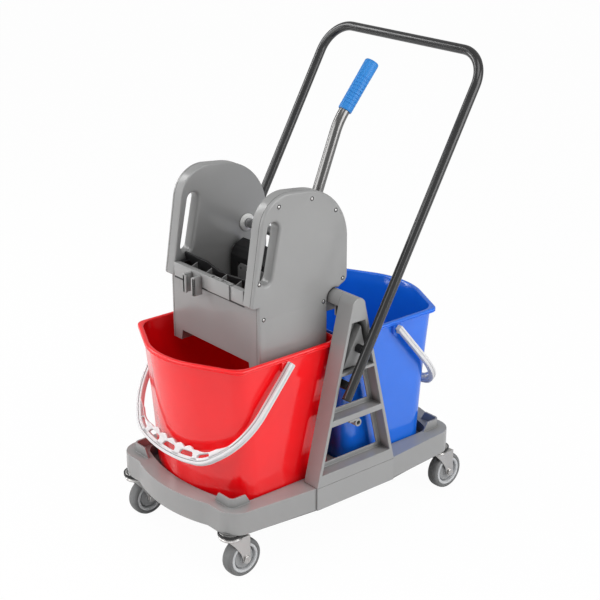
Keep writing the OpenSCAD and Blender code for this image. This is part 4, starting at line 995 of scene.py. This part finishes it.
def swept(path, section):
    """Sweeps a section of outward and normal distances along a flat path, with softened ends."""
    rows = []
    for i, (x, y) in enumerate(path):
        before, after = path[max(i - 1, 0)], path[min(i + 1, len(path) - 1)]
        run = Vector((after[0] - before[0], after[1] - before[1])).normalized()
        out = Vector((run.y, -run.x))
        rows.append([Vector((x + out.x * u, y + out.y * u, w)) for u, w in section])
    for end, step in ((0, 1), (-1, -1)):
        middle = sum(rows[end], Vector((0, 0, 0))) / len(section)
        drawn = [middle + (p - middle) * END_SHARE for p in rows[end]]
        inner = [p + (q - p).normalized() * END_SOFT for p, q in zip(rows[end], rows[end + step])]
        rows = [drawn, inner] + rows[1:] if end == 0 else rows[:-1] + [inner, drawn]
    return skin(rows)


print("section points:", len(SECTION))

# %% Bail grip
GRIP_DEEP, GRIP_START, GRIP_NECK, GRIP_LAP = 26.0, 32.0, 0.72, 3
FINGER_PITCH, FINGER_DEEP, FINGER_RUN, FINGER_FADE, FINGER_POWER = 25.0, 5.0, 56.0, 6, 1.3
NECK_STEPS, BEND_STEPS, FINGER_STEPS = 8, 10, 48


def grip_outline():
    """The plate's outline: inside the band outwards, and a scalloped edge for the fingers."""
    inner = []
    root = BAND_T - GRIP_LAP
    for share in between(0, 1, NECK_STEPS):
        deep = root + (GRIP_NECK * GRIP_DEEP - root) * share
        turn = GRIP_START + (SHOULDER_A - GRIP_START) * share
        inner.append(on_circle(SHOULDER, SHOULDER_R - deep, turn))
    for share in between(0, 1, BEND_STEPS)[1:]:
        deep = GRIP_DEEP * (GRIP_NECK + (1 - GRIP_NECK) * share)
        inner.append(on_circle(ELBOW, ELBOW_R - deep, SHOULDER_A + (ELBOW_A - SHOULDER_A) * share))
    for turn in between(ELBOW_A, 90, FINGER_STEPS)[1:]:
        x = (ARCH_R - GRIP_DEEP) * cos(radians(turn))
        fade = min(1.0, max(0.0, (FINGER_RUN + FINGER_FADE - x) / FINGER_FADE))
        bump = FINGER_DEEP * abs(cos(pi * x / FINGER_PITCH)) ** FINGER_POWER * fade
        inner.append(on_circle(ARCH, ARCH_R - GRIP_DEEP - bump, turn))
    outer = [p for p in band_half if p[1] > inner[0][1] + 2]
    return whole_loop(inner) + whole_loop(outer)[::-1]


print("points round a grip:", len(grip_outline()))

# %% Bail holes
ARCH_HOLE = {"in": 14, "pitch": 50, "long": 36, "high": 14}
ELBOW_HOLE = {"in": 13, "turn": 28, "long": 29, "high": 12}


def long_hole(centre, radius, turn, hole):
    """A slot with round ends that lies along an arc."""
    ring = []
    span = degrees((hole["long"] - hole["high"]) / 2 / radius)
    for way, start in ((-1, turn - 180), (1, turn)):
        cap = on_circle(centre, radius, turn + way * span)
        ring += arc(cap, hole["high"] / 2, start, start + 180, 10)
    return ring


arch_line = ARCH_R - ARCH_HOLE["in"]
arch_pitch = degrees(ARCH_HOLE["pitch"] / arch_line)
grip_holes = [long_hole(ARCH, arch_line, 90 + way * arch_pitch, ARCH_HOLE) for way in (-1, 0, 1)]
grip_holes += [long_hole((way * ELBOW[0], ELBOW[1]), ELBOW_R - ELBOW_HOLE["in"],
                         90 - way * ELBOW_HOLE["turn"], ELBOW_HOLE) for way in (-1, 1)]
print("grip holes:", len(grip_holes))

# %% Two bails
PLATE_T, PLATE_MIDDLE, PLATE_EDGE = 6.0, 6.0, 1.1
BAIL_PIN = [(0.05, 150.8), (3.6, 150.8), (3.95, 151.3), (3.95, 160.5), (0.05, 160.5)]


def moulded_plate(name, loops, thick, edge):
    """A flat outline with holes as a mesh, with a thickness and rounded rims."""
    curve = bpy.data.curves.new(name, "CURVE")
    curve.dimensions = "2D"
    curve.fill_mode = "BOTH"
    curve.extrude = thick / 2 - edge
    curve.bevel_depth = edge
    curve.bevel_resolution = 2
    curve.offset = -edge
    for loop in loops:
        spline = curve.splines.new("POLY")
        spline.points.add(len(loop) - 1)
        for point, (x, y) in zip(spline.points, loop):
            point.co = (x, y, 0.0, 1.0)
        spline.use_cyclic_u = True
    holder = bpy.data.objects.new(name, curve)
    mesh = bpy.data.meshes.new_from_object(holder)
    bpy.data.objects.remove(holder)
    bpy.data.curves.remove(curve)
    bm = bmesh.new()
    bm.from_mesh(mesh)
    bpy.data.meshes.remove(mesh)
    bmesh.ops.remove_doubles(bm, verts=bm.verts, dist=0.001)
    return bm


def hung(bm, facing):
    """Swings a flat bail down from its pins, and puts it in the frame."""
    along, down = cos(BAIL_TILT), sin(BAIL_TILT)
    return moved(bm, lambda x, y, w: (
        facing * x * MM, (facing * (EAR_Y + y * along - w * down) + SHIFT_Y) * MM,
        (BAIL_Z + y * down + w * along) * MM))


loops = []
for colour, facing in (("red", -1), ("blue", 1)):
    body = f"{colour}_bail_body"
    loop = swept(band_line, SECTION)
    plate = moulded_plate("grip", [grip_outline()] + grip_holes, PLATE_T, PLATE_EDGE)
    add_mesh(loop, moved(plate, lambda x, y, w: (x, y, w + PLATE_MIDDLE)))
    for side in (-1, 1):
        pin = lathe(BAIL_PIN, "x", 32)
        add_mesh(loop, moved(pin, lambda x, y, w: (side * x, y, w)))
    # painted shade: a dark strip swept along the floor of the bail's top groove
    line = swept(band_line, GROOVE_SHADE)
    loops.append(placed(f"{colour}_bail_loop", hung(loop, facing), (f"{colour}_bail",), body,
                        "pale_plastic"))
    placed(f"{colour}_bail_groove_shade", hung(line, facing), (), body, "pale_plastic",
           FINISHES["pad_plastic"])
print("bails:", [loop.name for loop in loops])

# %% [markdown]
# ## Handle bosses
# The push handle is bolted to a raised pad inside the top bay of each side frame. The pad is the
# bay's own outline, cut to a strip that follows the leaning tube. Cutting a polygon with a straight
# line is a small job, so it is done here by walking round the outline once for each side of the strip.

# %% Handle bosses
HANDLE_FOOT, HANDLE_LEAN = (-40.0, 312.3), radians(29.7)
BAY = [(-31.0, 360.0), (31.0, 360.0), (12.0, 440.0), (-12.0, 440.0)]
WEB_FACE, BOSS_T, BOSS_HALF, BOSS_SUNK, BOSS_EDGE = 172.0, 17.0, 15.0, 0.5, 1.2


def clipped(shape, along, limit):
    """The part of an outline whose distance along a direction is below the limit."""
    kept = []
    for here, there in zip(shape, shape[1:] + shape[:1]):
        a = here[0] * along[0] + here[1] * along[1] - limit
        b = there[0] * along[0] + there[1] * along[1] - limit
        if a <= 0:
            kept.append(here)
        if (a < 0) != (b < 0):
            kept += blended([here], [there], a / (a - b))
    return kept


across = (cos(HANDLE_LEAN), -sin(HANDLE_LEAN))
axis = HANDLE_FOOT[0] * across[0] + HANDLE_FOOT[1] * across[1]
strip = clipped(BAY, across, axis + BOSS_HALF)
strip = clipped(strip, (-across[0], -across[1]), BOSS_HALF - axis)
boss_middle = WEB_FACE - BOSS_SUNK + BOSS_T / 2
for side, word in SIDES:
    boss = moulded_plate("boss", [strip], BOSS_T, BOSS_EDGE)
    moved(boss, lambda y, z, x: (side * (boss_middle + x), y, z))
    placed(f"handle_boss_{word}", in_frame(boss), (), "chassis", "grey_plastic")
print("corners of a handle boss:", len(strip))

# %% [markdown]
# ## Lever
# The lever is a bent chromed tube with a soft grip pushed over its end. The CAD tube is jointed at
# the bend, so here one ring is carried along a smooth path. The grip is a turned sleeve that widens
# a little towards its end, with fine grooves on the lower part only.

# %% Lever tube
LEVER_X, LEVER_LEAN, LEVER_BEND, CORNER_UP = 60.0, radians(22.0), 18.0, 230.0
SOCKET_R, SOCKET_TO, TUBE_R, BEND_R, GRIP_FROM, GRIP_L = 9.0, 70.0, 10.3, 125.0, 23.0, 104.0
LOWER_RUN = (24.0, 66.0, 74.0, 120.0, 170.0)
TUBE_BENDS, TUBE_STEPS = 12, 32


def lever_path():
    """Points and directions in the lever's plane, along its lower run and then past the bend."""
    run = BEND_R * slope_tan(LEVER_BEND / 2)
    path = [(0.0, height, 0.0) for height in LOWER_RUN + (CORNER_UP - run,)]
    for angle in between(0, LEVER_BEND, TUBE_BENDS)[1:]:
        turn = radians(angle)
        path.append((BEND_R * (1 - cos(turn)), CORNER_UP - run + BEND_R * sin(turn), turn))
    turn = radians(LEVER_BEND)
    for length in (run + 30, GRIP_FROM + GRIP_L - 6):
        path.append((length * sin(turn), CORNER_UP + length * cos(turn), turn))
    return path


def on_lever(x, y, z):
    """A point of the upright lever's plane, leaned back and put in the frame."""
    along, up = sin(LEVER_LEAN), cos(LEVER_LEAN)
    return ((LEVER_X + x) * MM, (SHAFT_AT[0] + SHIFT_Y + y * up + z * along) * MM,
            (SHAFT_AT[1] - y * along + z * up) * MM)


def tube(path):
    """A tube along the lever's path, with its lower end drawn down to fit the hub's socket."""
    rows = []
    for y, z, turn in path:
        radius = SOCKET_R if z < SOCKET_TO else TUBE_R
        rows.append([on_lever(a, y + b * cos(turn), z - b * sin(turn))
                     for a, b in circle(radius, TUBE_STEPS)])
    return skin(rows)


placed("lever_bent_tube", tube(lever_path()), ("lever_tube",), "lever", "chrome")
print("lever bend radius mm:", BEND_R)

# %% Lever grip
SLEEVE_R, SLEEVE_GROW, SLEEVE_BORE = 13.2, 0.3, 10.4
NOTCHES, NOTCH_FROM, NOTCH_PITCH, NOTCH_DEEP = 9, 12.0, 7.0, 0.7
sleeve = [(SLEEVE_BORE, 0.0), (12.4, 0.0), (13.0, 0.8), (SLEEVE_R, 2.4)]
for i in range(NOTCHES):
    low = NOTCH_FROM + i * NOTCH_PITCH
    wide = SLEEVE_R + SLEEVE_GROW * low / GRIP_L
    sleeve += [(wide, low), (wide - NOTCH_DEEP, low + 0.5), (wide - NOTCH_DEEP, low + 1.5),
               (wide, low + 2.0)]
sleeve += [(13.5, 78.0), (13.7, GRIP_L - 5), (13.4, GRIP_L - 2), (12.4, GRIP_L - 0.4),
           (11.2, GRIP_L), (0.2, GRIP_L), (0.2, GRIP_L - 5), (SLEEVE_BORE, GRIP_L - 6)]
along, up = sin(radians(LEVER_BEND)), cos(radians(LEVER_BEND))
grip = moved(lathe(sleeve, "z", 48), lambda x, y, z: on_lever(
    x, y * up + (z + GRIP_FROM) * along, CORNER_UP - y * along + (z + GRIP_FROM) * up))
placed("lever_grip_sleeve", grip, ("lever_grip",), "lever", "grip_rubber")
print("grip length mm:", GRIP_L)
